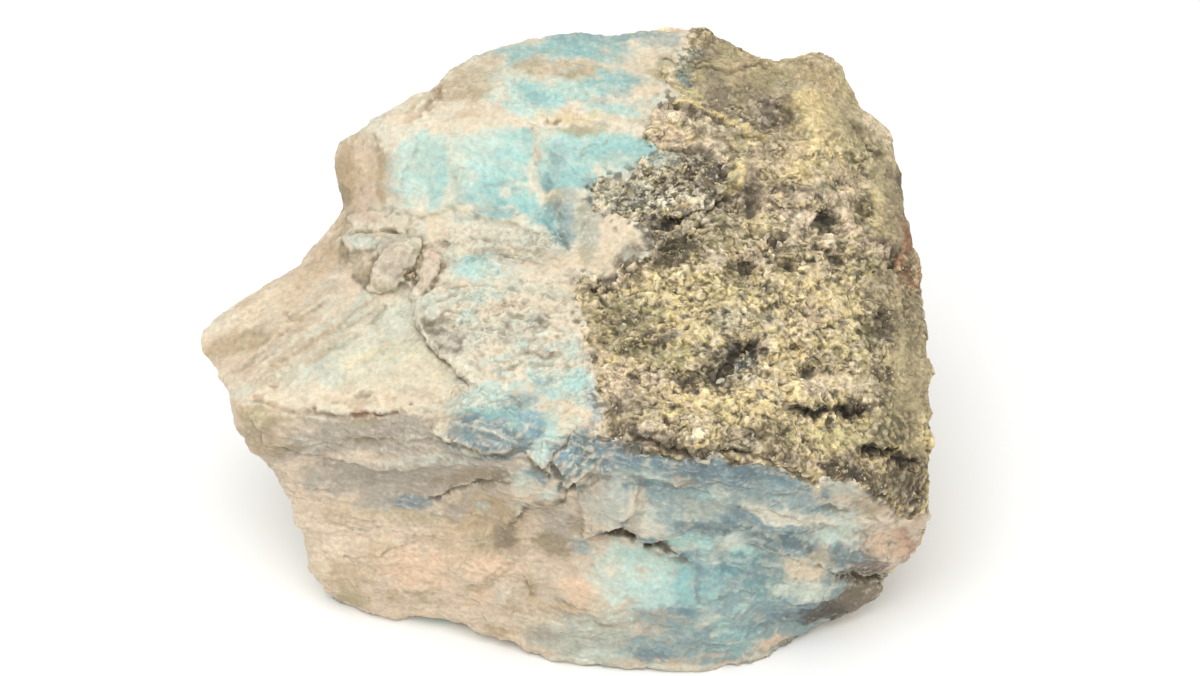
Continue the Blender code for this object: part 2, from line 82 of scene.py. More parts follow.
# %% The camera
SENSOR_WIDTH = 36.0
FRAME_PIXELS = 1200
PIXELS_PER_MM = 7.3
STONE_LEFT, STONE_BELOW = 35, 10  # pixels
FRAME_WIDTH = FRAME_PIXELS / PIXELS_PER_MM
camera = bpy.data.objects.new("camera", bpy.data.cameras.new("camera"))
bpy.context.scene.collection.objects.link(camera)
bpy.context.scene.camera = camera
camera.data.sensor_width = SENSOR_WIDTH
camera.data.lens = SENSOR_WIDTH * EYE_DISTANCE / FRAME_WIDTH
camera.data.clip_start = 0.01
camera.data.shift_x = STONE_LEFT / FRAME_PIXELS
camera.data.shift_y = STONE_BELOW / FRAME_PIXELS
camera.location = Vector((SIGHT_CENTRE + EYE_DISTANCE * TO_EYE) * MM)
camera.rotation_euler = (math.pi / 2 - SIGHT_TILT, 0.0, 0.0)
print("lens, mm:", round(camera.data.lens, 1))

# %% [markdown]
# ## Colours and nodes
#
# Colours are written as the hex values a colour picker shows. Blender's shaders count light, not screen
# values, so one function turns the hex into linear numbers. Another adds a node, sets its values by name
# and wires its inputs, so that each material below reads as a list of its layers.

# %% Colours and nodes
def linear(code):
    """An sRGB hex colour as three linear numbers."""
    values = (int(code[i : i + 2], 16) / 255 for i in (1, 3, 5))
    return tuple(v / 12.92 if v <= 0.04045 else ((v + 0.055) / 1.055) ** 2.4 for v in values)


def node(tree, kind, settings=None, **links):
    """Adds a node. Settings are its own. A link is a value, or the socket that feeds that input: its name
    with _ for a space, or i0, i1 and so on where inputs share a name."""
    made = tree.nodes.new(kind)
    for name, value in (settings or {}).items():
        setattr(made, name, value)
    for name, value in links.items():
        numbered = name[0] == "i" and name[1:].isdigit()
        socket = made.inputs[int(name[1:]) if numbered else name.replace("_", " ")]
        if isinstance(value, bpy.types.NodeSocket):
            tree.links.new(value, socket)
        else:
            socket.default_value = value
    return made


# %% [markdown]
# ## Floor and light
#
# The stone lies on a white table in a white room. One broad lamp hangs over it, a little in front and to
# the left: it lights the top and leaves the broken front in a soft shade, which the white room fills. A
# sun would draw hard shadows, which would hide the small relief instead of showing it. The Standard view
# shows every colour as it was picked.

# %% Floor and light
TABLE_HALF = 3.0
WORLD_LIGHT = 0.74
LAMP_PLACE = Vector((-0.06, -0.26, 0.62))
LAMP_WATTS = 2.85
LAMP_WIDTH = 0.5

bm = bmesh.new()
bmesh.ops.create_grid(bm, x_segments=1, y_segments=1, size=TABLE_HALF)
table = bpy.data.objects.new("table", bpy.data.meshes.new("table"))
bm.to_mesh(table.data)
bm.free()
white_table = bpy.data.materials.new("white_table")
white_table.use_nodes = True
shader = white_table.node_tree.nodes["Principled BSDF"]
shader.inputs["Base Color"].default_value = (*linear("#fbfbfa"), 1.0)
shader.inputs["Roughness"].default_value = 0.9
table.data.materials.append(white_table)
bpy.context.scene.collection.objects.link(table)

world = bpy.data.worlds.new("white_room")
world.use_nodes = True
world.node_tree.nodes["Background"].inputs["Color"].default_value = (1.0, 1.0, 1.0, 1.0)
world.node_tree.nodes["Background"].inputs["Strength"].default_value = WORLD_LIGHT
bpy.context.scene.world = world

lamp = bpy.data.objects.new("overhead_lamp", bpy.data.lights.new("overhead_lamp", "AREA"))
lamp.data.energy = LAMP_WATTS
lamp.data.size = LAMP_WIDTH
lamp.location = LAMP_PLACE
lamp.rotation_euler = LAMP_PLACE.to_track_quat("Z", "Y").to_euler()
bpy.context.scene.collection.objects.link(lamp)
bpy.context.scene.view_settings.view_transform = "Standard"
print("lamp:", LAMP_WATTS, "W, room:", WORLD_LIGHT)

# %% [markdown]
# ## An even skin
#
# The plain solid has facets about 2 mm wide. A voxel remesh gives an even skin of squares, and smoothing
# takes the facets' edges off. Everything finer is cut from this skin. It is kept in millimetres, the unit
# that its marks are drawn in.

# %% An even skin
SKIN_CELL = 1.22


def mesh_of(obj):
    """The object's mesh with its modifiers applied."""
    return bpy.data.meshes.new_from_object(obj.evaluated_get(bpy.context.evaluated_depsgraph_get()))


def modified(mesh, kind, **settings):
    """The mesh after one modifier."""
    holder = bpy.data.objects.new("holder", mesh)
    bpy.context.scene.collection.objects.link(holder)
    modifier = holder.modifiers.new(kind, kind)
    for name, value in settings.items():
        setattr(modifier, name, value)
    made = mesh_of(holder)
    bpy.data.objects.remove(holder)
    return made


def softened(mesh, rounds):
    """Smooths without shrinking: each round of smoothing is taken back a little further outwards."""
    for _ in range(rounds):
        mesh = modified(mesh, "SMOOTH", factor=0.5, iterations=1)
        mesh = modified(mesh, "SMOOTH", factor=-0.53, iterations=1)
    return mesh


def read(mesh):
    """The mesh's points and normals, as two arrays of rows."""
    points = np.empty(3 * len(mesh.vertices))
    normals = np.empty(3 * len(mesh.vertices))
    mesh.vertices.foreach_get("co", points)
    mesh.vertices.foreach_get("normal", normals)
    return points.reshape(-1, 3), normals.reshape(-1, 3)


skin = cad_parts["larimar_stone"].data.copy()
bm = bmesh.new()
bm.from_mesh(skin)
bmesh.ops.remove_doubles(bm, verts=bm.verts[:], dist=1e-6)
bmesh.ops.scale(bm, vec=(1 / MM,) * 3, verts=bm.verts[:])
bm.to_mesh(skin)
bm.free()
skin = modified(skin, "REMESH", mode="VOXEL", voxel_size=SKIN_CELL)
skin = softened(skin, 5)
print("skin:", len(skin.vertices), "points")

# %% [markdown]
# ## Tables of marks
#
# What makes this stone itself is its marks: ledges, cracks, holes and stains, each at its own place. They
# are kept in tables, one row a mark, because a row can be read, moved or taken out on its own. So that
# the tables stay short, every number in them is in tenths: of a millimetre for a place or a size, of a
# degree for a turn, of a full coat for a thickness. A bracket within a row is a line: the u and v of its
# points, one after the other.

# %% Tables of marks
def in_units(entry):
    """A number of tenths in whole units, or a bracket of them as points. A name and a None stay."""
    if isinstance(entry, tuple):
        return [(at_u / 10, at_v / 10) for at_u, at_v in zip(entry[::2], entry[1::2])]
    return entry if entry is None or isinstance(entry, str) else entry / 10


def whole(table):
    """The rows of a table in whole units."""
    return [[in_units(entry) for entry in row] for row in table]


# %% [markdown]
# The remesh rounds off the outermost corners, such as the tip on the left, so they are drawn out again a
# little: each row pushes the skin away from the sight's middle.

# %% Draw the corners out
CORNERS = [  # u, v, reach, push
    (-493, 18, 70, 9), (-451, -92, 70, 3), (-415, -156, 70, 5), (-314, 230, 70, 9), (-336, 148, 70, 6),
    (-201, 349, 60, 4), (141, 438, 70, 2), (207, 425, 60, 4), (401, 338, 50, 6), (486, 68, 70, 6),
    (497, -71, 70, 6), (500, -3, 70, 3), (493, -215, 70, 4), (418, -345, 90, 6), (466, -290, 70, 4),
    (-260, -362, 90, 8), (14, -433, 100, 4), (116, -438, 100, 5), (212, -433, 90, 3),
]
points, normals = read(skin)
u, v = sighted(points)
for at_u, at_v, reach, push in whole(CORNERS):
    near = push * np.exp(-(((u - at_u) ** 2 + (v - at_v) ** 2) / reach**2))
    away = np.array((at_u, at_v)) / math.hypot(at_u, at_v)
    points += near[:, None] * (away[0] * SIGHT_RIGHT + away[1] * SIGHT_UP)
points[:, 2] = np.maximum(points[:, 2], 0.0)
skin.vertices.foreach_set("co", points.ravel())
skin.update()
print("corners drawn out:", len(CORNERS))

# %% [markdown]
# ## Tools for breaking stone
#
# Four kinds of mark make a broken surface: a ledge, where a flake has come away and left a step; a crack;
# a block, which stands proud or lies low all round; and a dimple or a nodule. Each is drawn in the sight
# frame and moves the skin along its normals. Displacing points in code was chosen over sculpting by hand
# because every mark keeps its name, its place and its height. Random roughness comes from Blender's own
# noise, read at each point in space, so it has no seams and reaches every side.

# %% How far a point lies from a line or an outline
def smooth_step(t):
    """0 under 0, 1 over 1, and a soft rise between them."""
    t = np.clip(t, 0.0, 1.0)
    return t * t * (3.0 - 2.0 * t)


def along(u, v, line):
    """The distance to a line, the side (+1 on its left) and the share of the way along it."""
    nearest = np.full(len(u), np.inf)
    side = np.zeros(len(u))
    share = np.zeros(len(u))
    for i, ((u0, v0), (u1, v1)) in enumerate(zip(line, line[1:])):
        du, dv = u1 - u0, v1 - v0
        part = np.clip(((u - u0) * du + (v - v0) * dv) / (du * du + dv * dv), 0.0, 1.0)
        distance = np.hypot(u - u0 - part * du, v - v0 - part * dv)
        closer = distance < nearest
        nearest = np.where(closer, distance, nearest)
        side = np.where(closer, np.sign(du * (v - v0) - dv * (u - u0)), side)
        share = np.where(closer, (i + part) / (len(line) - 1), share)
    return nearest, side, share


def depth_inside(u, v, outline):
    """The distance to an outline, positive inside it."""
    closed = outline + outline[:1]
    inside = np.zeros(len(u), bool)
    for (u0, v0), (u1, v1) in zip(closed, closed[1:]):
        if v0 != v1:
            inside ^= ((v0 > v) != (v1 > v)) & (u < (u1 - u0) * (v - v0) / (v1 - v0) + u0)
    return np.where(inside, 1.0, -1.0) * along(u, v, closed)[0]


# %% The four marks
def ledge(u, v, fray, line, height, reach, edge=0.4):
    """A step up on the line's left, with a gutter at its foot: its height, and the painted shade in the
    gutter.
    """
    distance, side, share = along(u, v, line)
    away = side * distance
    taper = smooth_step(5.0 * share) * smooth_step(5.0 * (1.0 - share))
    raised = np.exp(-np.maximum(away, 0.0) / reach) * smooth_step(0.5 + away / edge)
    gutter = taper * fray * np.exp(-(((away + 0.6 * edge) / (0.8 * edge)) ** 2))
    return height * (taper * raised - 0.3 * gutter), min(abs(height), 0.8) * gutter


def crack(u, v, fray, line, depth, half_width):
    """A groove along a line: its height, and the painted shade in it."""
    distance, _, share = along(u, v, line)
    taper = smooth_step(5.0 * share) * smooth_step(5.0 * (1.0 - share))
    groove = taper * np.exp(-((distance / (half_width * fray)) ** 2))
    return -depth * groove, min(max(depth, 0.0), 1.0) * groove**2


def block(u, v, fray, outline, height, edge=0.6):
    """A raised or sunken patch: its height, and the painted shade at its foot."""
    inside = depth_inside(u, v, outline)
    foot = (inside + math.copysign(0.5 * edge, height)) / min(edge, 0.4)
    return height * smooth_step(0.5 + inside / edge), min(abs(height), 0.5) * fray * np.exp(-(foot**2))


def bump(u, v, fray, at_u, at_v, radius, height):
    """A nodule, or a dimple where the height is under 0: its height, and the painted shade in a dimple."""
    round_it = np.exp(-((np.hypot(u - at_u, v - at_v) / (radius * (0.4 + 0.6 * fray))) ** 2))
    return height * round_it, max(-height, 0.0) * round_it**2


def spread(u, v, at_u, at_v, half_u, half_v):
    """1 in the middle of an oval and 0 outside it, with a soft rim."""
    return np.exp(-((((u - at_u) / half_u) ** 2 + ((v - at_v) / half_v) ** 2) ** 2))


# %% Random roughness
CELL_MIX = np.array(  # turns the middle of a cell into its four lots
    ((12.99, 39.35, 73.16, 26.65), (78.23, 11.14, 52.24, 9.15), (37.72, 83.16, 19.87, 61.79))
)


def rough(points, size, seed, stretch=(1.0, 1.0, 1.0)):
    """Soft noise from -1 to 1 with marks of the given size, longer where stretch is over 1."""
    scaled = points / (size * np.array(stretch)) + seed * np.array((17.3, 5.1, 9.7))
    return np.array([noise.noise(row) for row in scaled.tolist()])


def shaken(place, points, seed, *layers):
    """A drawn u or v, made to wander by layers of noise: (how far, size)."""
    for layer, (amount, size) in enumerate(layers):
        place = place + amount * rough(points, size, seed + layer)
    return place


def wandered(points, amount, size, seed):
    """The points themselves, shaken the same way in all three directions."""
    return points + amount * np.stack([rough(points, size, seed + axis) for axis in range(3)], axis=1)


def broken_faces(points, size, seed, jump, lean):
    """Flat breaks in cells of a size: each cell has its own height and its own lean."""
    rows = points / size + seed * np.array((3.3, 7.9, 1.7))
    middles = np.array([noise.voronoi(row)[1][0][:] for row in rows.tolist()])
    lots = np.modf(np.abs(np.sin(np.round(middles, 3) @ CELL_MIX) * 4375.85))[0]
    tilt = np.sum((rows - middles) * (2.0 * lots[:, 1:] - 1.0), axis=1)
    return size * (jump * (lots[:, 0] - 0.5) + lean * tilt)


def flaked(height, rise):
    """Sharp terraces: their height, and where the foot and the rim of each riser lie."""
    level = np.floor(height / rise)
    part = height / rise - level
    foot, rim = (np.exp(-(((part - at) / 0.07) ** 2)) for at in (0.36, 0.64))
    return rise * (level + smooth_step(6.0 * part - 2.5)), foot, rim


def steps(height, rise):
    """Turns smooth heights into terraces with soft risers."""
    level = np.floor(height / rise)
    part = height / rise - level
    return rise * (level + smooth_step(3.0 * part - 1.0))


# %% [markdown]
# ## Where the two rocks meet
#
# The basalt sits on the right and the top; the pectolite filled the crack below and beside it. On the
# front the contact is drawn. Inside and behind, where nobody sees it, two planes carry it on.

# %% Where the two rocks meet
CONTACT = in_units((
    175, 470, 174, 436, 171, 408, 147, 397, 138, 378, 152, 353, 141, 340, 119, 329, 123, 305, 116, 285, 123,
    264, 89, 247, 48, 236, 34, 214, 45, 186, 82, 168, 116, 164, 119, 141, 103, 118, 64, 96, 14, 104, 18, 66,
    12, 49, 26, 25, 34, -3, 41, -44, 48, -78, 52, -123, 103, -126, 171, -151, 240, -153, 308, -162, 342,
    -184, 366, -170, 407, -184, 432, -211, 466, -227, 514, -215, 582, 203, 459, 477,
))
CONTACT_PLANES = [  # a point, and the way into the basalt
    (np.array((5.0, -35.7, 39.6)), np.array((0.42, -0.38, 0.82))),
    (np.array((17.0, 26.3, 30.6)), np.array((0.85, 0.52, 0.0))),
]


def into_basalt(points, normals):
    """How far a point is inside the basalt, in millimetres; under 0 it is in the pectolite."""
    u, v = sighted(points)
    u = shaken(u, points, 41, (0.9, 3.0), (0.5, 1.1))
    v = shaken(v, points, 43, (0.9, 3.0), (0.5, 1.1))
    drawn = depth_inside(u, v, CONTACT)
    planes = np.max([(points - origin) @ direction for origin, direction in CONTACT_PLANES], axis=0)
    carried = shaken(planes, points, 45, (3.0, 9.0), (1.2, 2.5))
    front = smooth_step(0.5 + 3.0 * (normals @ TO_EYE))
    return front * drawn + (1.0 - front) * carried


# %% [markdown]
# ## Shells
#
# Each rock gets its own closed shells, cut from the same skin: fine where that rock shows, coarse and sunk
# towards the middle of the stone where another shell covers it. The shells then cross along the contact,
# which leaves a ragged line that no painted border has. Each rock has a front and a back, and each front
# is cut in two once more, the pectolite's at the brow over its broken wall and the basalt's at its waist,
# to keep each piece under 200,000 triangles. The fronts are divided most, because that is where the
# stone's small ledges are known.

# %% Which shell shows a point
MARGIN = 1.2  # how far a shell stays fine past its own border
BASE = 0.3  # and it is coarse under this height, because the base can't be seen
BROW = np.array(in_units((
    -514, -66, -415, -73, -363, -85, -308, -90, -226, -88, -171, -96, -130, -112, -51, -136, -7, -134, 48,
    -127, 103, -126, 185, -148, 500, -208,
)))
WAIST = np.array(in_units((-7, 107, 500, 86)))


def into_own(name, points, normals):
    """How far a point lies inside the part of the stone that a shell shows, in millimetres. A front
    reaches as far as the skin turns to the eye, and a back takes over there."""
    ahead = 0.6 + 6.0 * (normals @ TO_EYE)
    own = into_basalt(points, normals) * (1.0 if "basalt" in name else -1.0)
    if "back" in name:
        return np.minimum(own, -ahead)
    u, v = sighted(points)
    line = WAIST if "basalt" in name else BROW
    under = np.interp(u, line[:, 0], line[:, 1]) - v
    return np.minimum(np.minimum(own, ahead), under if "wall" in name else -under)


def own_points(name, mesh):
    """Which points of a mesh a shell keeps fine."""
    points, normals = read(mesh)
    return (into_own(name, points, normals) > -MARGIN) & (points[:, 2] > BASE)


# %% Cut the shells
HIDDEN_SHARE = 0.15  # how many of a shell's hidden triangles stay
CUTS = {"top": 4, "wall": 4, "back": 2}  # cuts across each fine edge
SINK = 1.5  # how deep a shell lies under the one that covers it
MIDDLE = np.array((0.0, 0.0, 30.0))  # the middle of the stone
FLAT = 0.2  # a point lower than this is on the flat that the stone rests on
CLEAR, CLEAR_HIDDEN = 0.25, 0.65  # and no other point comes lower than this


class Shell:
    """One closed shell of the stone, and what is known of its points."""

    def __init__(self, name, cuts):
        self.name = name
        self.worn = 0.0
        own = own_points(name, skin)
        kept = own.copy()
        for edge in skin.edges:
            i, j = edge.vertices
            kept[i] |= own[j]
            kept[j] |= own[i]
        holder = bpy.data.objects.new("holder", skin.copy())
        holder.vertex_groups.new(name="hidden").add(np.flatnonzero(~kept).tolist(), 1.0, "REPLACE")
        bpy.context.scene.collection.objects.link(holder)
        thinner = holder.modifiers.new("thinner", "DECIMATE")
        thinner.vertex_group = "hidden"
        thinner.ratio = float(kept.mean()) + HIDDEN_SHARE * float((~kept).mean())
        thinned = mesh_of(holder)
        bpy.data.objects.remove(holder)
        own = own_points(name, thinned)
        bm = bmesh.new()
        bm.from_mesh(thinned)
        shown = [edge for edge in bm.edges if own[edge.verts[0].index] and own[edge.verts[1].index]]
        bmesh.ops.subdivide_edges(bm, edges=shown, cuts=cuts, use_grid_fill=True)
        bmesh.ops.triangulate(bm, faces=bm.faces[:])
        cut = bpy.data.meshes.new(name)
        bm.to_mesh(cut)
        bm.free()
        self.mesh = softened(cut, 8)
        points, normals = read(self.mesh)
        self.inside = into_own(name, points, normals)
        self.in_basalt = into_basalt(points, normals)
        print(name + ":", len(self.mesh.vertices), "points,", len(self.mesh.polygons), "triangles")

    def move(self, relief, buried=0.0):
        """Moves the points out along the normals, and buried ones towards the middle of the stone too."""
        rest, normals = read(self.mesh)
        inward = MIDDLE - rest
        inward /= np.linalg.norm(inward, axis=1)[:, None]
        points = rest + normals * relief[:, None] + inward * np.reshape(buried, (-1, 1))
        covered = relief - buried < -0.9 * SINK
        lowest = np.where(covered, CLEAR_HIDDEN, CLEAR)
        points[:, 2] = np.where((rest[:, 2] < FLAT) & ~covered, 0.0, np.maximum(points[:, 2], lowest))
        self.mesh.vertices.foreach_set("co", points.ravel())
        self.mesh.update()
        print(self.name, "relief, mm:", round(float(relief.min()), 2), "to", round(float(relief.max()), 2))


pectolites = [Shell("pectolite_" + side, cuts) for side, cuts in CUTS.items()]
basalts = [Shell("basalt_" + side, cuts) for side, cuts in CUTS.items()]
shells = pectolites + basalts

# %% [markdown]
# ## Break the pectolite
#
# Pectolite is built of fine needles, so it breaks into scales and splinters that leave low steps, and the
# steps catch the light along one edge. Each step is a line here, with its raised side on the left of the
# way it is drawn, its height, how far the flake reaches before the skin is level again and, where it is
# a blunt one, how wide its edge is. A height under 0 turns a mark round: a crack becomes a ridge.

# %% Break the pectolite
LEDGES = [  # line, height, reach, edge
    ((-448, -68, -415, -73, -363, -85, -308, -90, -253, -89, -192, -81, -151, -92), 5, 30),
    ((-415, -33, -363, -3, -301, 41, -237, 86), 2.2, 22), ((-338, -12, -295, 14, -229, 66), 2, 20),
    ((-363, 4, -308, 30, -247, 59), 2.5, 20), ((-470, -41, -415, -5, -363, 41, -301, 79), 3, 25),
    ((-493, 32, -438, 63, -363, 110, -311, 137), -2.5, 20),
    ((-158, 93, -185, 77, -201, 59, -205, 41, -193, 15, -171, -12, -151, -27, -133, -47, -114, -60), 8, 40),
    ((-201, 44, -185, 62, -162, 70, -130, 79), 4, 15), ((-89, 49, -62, 44, -34, 38, -12, 30), 5, 18),
    ((-55, -5, -27, -11, 0, -5), 4, 15), ((-130, 4, -89, 11, -48, 16, 0, 8), 3, 20),
    ((-116, -33, -75, -25, -34, -19, 21, -27), 3, 20),
    ((-242, 196, -226, 186, -199, 179, -158, 189, -130, 184, -89, 175, -62, 168, -27, 153, -4, 140), 3, 26,
     6),
    ((-185, 151, -151, 145, -116, 153, -62, 140, -7, 132), 4, 20),
    ((-233, 216, -212, 258, -199, 288), 2, 20), ((-158, 118, -116, 127, -62, 123, -7, 110), -3, 20),
    ((-188, -110, -155, -127, -123, -137, -89, -144, -51, -136), 7, 26),
    ((-53, -142, -30, -166, -18, -151, -7, -170, 1, -186, 26, -175, 51, -149), 9, 30),
    ((-34, -126, -12, -137, 1, -132, 34, -140), 4, 15),
    ((-432, -88, -421, -105, -412, -127, -382, -136, -360, -145, -314, -147), 5.5, 25),
    ((-308, -121, -253, -126, -185, -123, -130, -134), 3.5, 20),
    ((-396, -155, -315, -151, -264, -167, -171, -162, -82, -160, -70, -178, -59, -195), 3, 22),
    ((-192, -204, -164, -197, -137, -185, -110, -179, -68, -181), 3.5, 20),
    ((-78, -244, -56, -218, -27, -210, 4, -204), 6, 26),
    ((18, -236, 29, -258, 51, -251, 73, -242, 92, -216, 107, -184), 5, 26),
    ((45, -251, 68, -248, 96, -259, 111, -267, 129, -270, 174, -293), 6, 22),
    ((103, -271, 141, -285, 188, -296), 3, 12), ((-273, -290, -219, -267, -168, -252), 1.8, 20),
    ((-267, -329, -219, -329, -168, -337), 1.5, 18),
    ((-158, -332, -116, -316, -89, -296, -53, -284), 2.2, 20),
    ((-21, -334, 7, -352, 34, -356, 48, -373, 95, -382), 2.5, 24),
    ((182, -362, 177, -318, 181, -270), 1.5, 18),
    ((233, -264, 308, -281, 352, -295, 379, -307, 452, -310), 8, 26),
    ((295, -345, 322, -348, 363, -345, 390, -332), 4, 16),
    ((185, -208, 226, -219, 281, -216, 338, -236, 390, -249), 2, 16),
    ((123, -178, 171, -189, 212, -181, 281, -195, 342, -201), 2.2, 16),
    ((-336, -236, -281, -247, -199, -238, -130, -249), 1.2, 24), ((240, -400, 281, -379, 322, -362), -3, 15),
]
CRACKS = [  # line, depth, half width
    ((-390, 49, -363, 36), 4, 6), ((-292, 160, -260, 162, -221, 160), 5, 2.5),
    ((-251, 132, -264, 110, -273, 79), 3.5, 2.5), ((-196, 153, -197, 132, -204, 112), 4, 2.5),
    ((-168, 123, -174, 96, -193, 64), 4, 2.5), ((-130, 110, -89, 101, -52, 90), 1.5, 3),
    ((-264, 299, -252, 258, -256, 219, -245, 189), 1.5, 8),
    ((-44, 301, -40, 264, -27, 223, -12, 203, -3, 167), 1.2, 8), ((-30, 308, -3, 312), 2.5, 3),
    ((-171, 370, -177, 342, -212, 312), 4, 9), ((-192, -207, -164, -200, -137, -188, -107, -182), 6, 5),
    ((45, -252, 68, -249, 96, -260, 111, -268, 129, -271, 174, -295), 10, 4),
    ((-55, -308, -51, -329, -47, -348), 3.5, 4), ((368, -308, 411, -314, 455, -314), 12, 6),
    ((353, -212, 385, -234), 6, 4), ((-155, 292, -147, 258, -141, 219), -3, 12),
    ((-4, -189, 15, -186), 9, 7),
]
BLOCKS = [  # outline, height, edge
    ((-301, 181, -264, 188, -226, 186, -210, 178, -221, 162, -289, 162), 3.5, 5),
    ((-305, 153, -264, 156, -229, 155, -251, 134, -295, 132), 2.5, 5),
    ((-248, 148, -197, 152, -199, 118, -221, 88, -253, 77, -271, 82, -262, 112), 3.5, 5),
    ((-189, 142, -167, 126, -174, 96, -193, 66, -212, 66, -207, 85, -193, 115), 3, 6),
    ((-493, 8, -470, 14, -438, 30, -415, 33, -403, 22, -404, 4, -425, -3, -456, -11, -479, -12), -3.5, 16),
    ((-189, 33, -164, 41, -140, 32, -140, 4, -151, -14, -174, -3), -4, 9),
    ((21, -197, 48, -178, 82, -174, 104, -184, 89, -216, 70, -241, 48, -249, 29, -255), 3.5),
]
BUMPS = [  # u, v, radius, height
    (-211, 99, 13, -9), (-68, 203, 22, 3), (-10, 14, 6, -3), (-103, -105, 40, 4), (-34, -148, 14, 3),
    (-171, -110, 16, 3), (23, -151, 26, 4),
]
print("pectolite:", len(LEDGES), "ledges,", len(CRACKS), "cracks,", len(BLOCKS), "blocks")

# %% [markdown]
# ## Break the basalt
#
# The host rock broke the other way: it is coarse and crumbly, with gas holes, crystals that stand
# proud and thick crusts that overhang. Its marks are deeper and blunter than the pectolite's.

# %% Break the basalt
HOST_LEDGES = [
    ((103, 336, 162, 334, 212, 315, 247, 296, 284, 289), 6, 20),
    ((127, 274, 185, 277, 215, 260, 240, 258), 6, 18), ((292, -70, 318, -78, 338, -89, 371, -75), 9, 20),
    ((401, -140, 432, -137, 464, -137), 9, 20),
    ((56, -127, 110, -123, 163, -140, 181, -153, 215, -140, 256, -142, 303, -158, 345, -181), 9, 26),
    ((55, -101, 116, -96, 171, -110, 240, -104, 308, -121), 5, 16), ((53, -74, 116, -77, 185, -82), 4, 16),
    ((171, 392, 226, 381, 267, 392, 308, 370), 5, 20), ((267, 342, 308, 323, 322, 292), 5, 16),
    ((390, 326, 415, 271, 445, 258), 5, 24),
]
HOST_CRACKS = [
    ((116, 162, 160, 177, 192, 190), 8, 4), ((240, 227, 218, 203, 196, 184, 179, 162, 171, 142), 9, 4),
    ((370, -75, 390, -88, 415, -85), 12, 8), ((401, -142, 432, -140, 464, -142), 13, 6),
    ((437, -153, 466, -156, 489, -156), 12, 6), ((432, 155, 449, 127, 462, 96), 9, 8),
    ((103, 148, 137, 140, 171, 153), 8, 9), ((201, -55, 215, -25, 240, -3, 274, 16), 11, 8),
    ((221, 227, 215, 251, 240, 271), 6, 5), ((64, -142, 130, -142, 171, -167), 6, 5),
    ((27, 77, 64, 93, 103, 99), 9, 6), ((404, 38, 432, 41, 445, 25), 8, 8),
]
HOST_BUMPS = [
    (247, 110, 18, -9), (304, 114, 13, -7), (292, 148, 10, -7), (347, 138, 9, -6), (356, 175, 15, -9),
    (371, 126, 13, -7), (171, 86, 7, -5), (190, 88, 6, -4), (267, 162, 6, -4), (164, -48, 15, -7),
    (336, -30, 12, -7), (315, 4, 8, -5), (256, 196, 15, -7), (210, 216, 13, -6), (407, 192, 12, -6),
    (114, 173, 12, -6), (89, 112, 10, 8), (34, 81, 10, 6), (123, 129, 12, 5), (185, -123, 17, 8),
    (281, 38, 12, 5), (349, 378, 20, 7), (215, -14, 8, 7), (308, 315, 12, -5), (274, 299, 14, -5),
    (242, 347, 15, -4), (89, 216, 12, -4), (301, -115, 12, -6), (390, -88, 16, -6), (212, -142, 14, -5),
    (432, 25, 14, -6), (449, 127, 13, -6),
]
print("basalt:", len(HOST_LEDGES), "ledges,", len(HOST_CRACKS), "cracks,", len(HOST_BUMPS), "holes")

# %% [markdown]
# ## The first pass
#
# The marks and the coarse swells and terraces are lifted first, on all shells alike, so that they still
# meet. The drawn lines wander and fray a little. Where each point lies in that wandering frame is kept,
# so that the stains of a crack fall into the crack. The nose ends in a point too sharp to carry relief,
# so relief fades out there.

# %% Every mark at once
NOSE_TIP = (-50.3, 1.4, 2.2, 1.9)  # u, v, half width, half height
MARKS = [
    (ledge, LEDGES), (crack, CRACKS), (block, BLOCKS), (bump, BUMPS),
    (ledge, HOST_LEDGES), (crack, HOST_CRACKS), (bump, HOST_BUMPS),
]


def drawn(u, v, fray):
    """The height of every drawn mark at (u, v), and the painted shade at its foot or in its groove."""
    height, shade = np.zeros(len(u)), np.zeros(len(u))
    for kind, table in MARKS:
        for row in whole(table):
            more_height, more_shade = kind(u, v, fray, *row)
            height += more_height
            shade = np.maximum(shade, more_shade)
    return height, shade


# %% Lift the marks and the swells
for shell in shells:
    points, normals = read(shell.mesh)
    u, v = sighted(points)
    shell.u = shaken(u, points, 1, (0.35, 2.4), (0.2, 0.8))
    shell.v = shaken(v, points, 3, (0.35, 2.4), (0.2, 0.8))
    shell.fray = np.clip(shaken(0.85, points, 11, (1.6, 2.0), (1.4, 0.8)), 0.2, 1.6)
    shell.tip = spread(shell.u, shell.v, *NOSE_TIP)
    seen = smooth_step(0.3 + 2.0 * (normals @ TO_EYE))
    height, shade = drawn(shell.u, shell.v, shell.fray)
    shell.shade = shade * seen
    host = smooth_step(0.5 + shell.in_basalt / 2.0)
    relief = seen * height + host * (0.5 * rough(points, 7.0, 5) + 0.6 * rough(points, 3.4, 6))
    relief += (1.0 - host) * 0.35 * rough(points, 5.0, 7)
    relief += (0.5 - 0.3 * seen) * steps(1.3 * rough(points, 6.0, 8) + 0.5 * rough(points, 2.5, 9), 0.5)
    shell.move((1.0 - shell.tip) * relief)

# %% [markdown]
# ## Needles and scales
#
# The second pass adds what is under a millimetre high, along fresh normals, because the first pass has
# turned the skin. Needles of pectolite lie side by side, so its grain is noise drawn out long in one
# direction: up to the right on the left wing, nearly level on the wall. Where it came away in chips, as
# on the middle of the stone, small terraces and flat breaks lie between the needles. A few zones are calm.
#
# A grain table says where which grain lies. A row is a colour, its thickness, its rise, the angle, length
# and width of its streaks, a number that lets them fill more of their zone the higher it is, and the zone,
# an oval: u, v, half width, half height. None in place of that number leaves thin lines only.

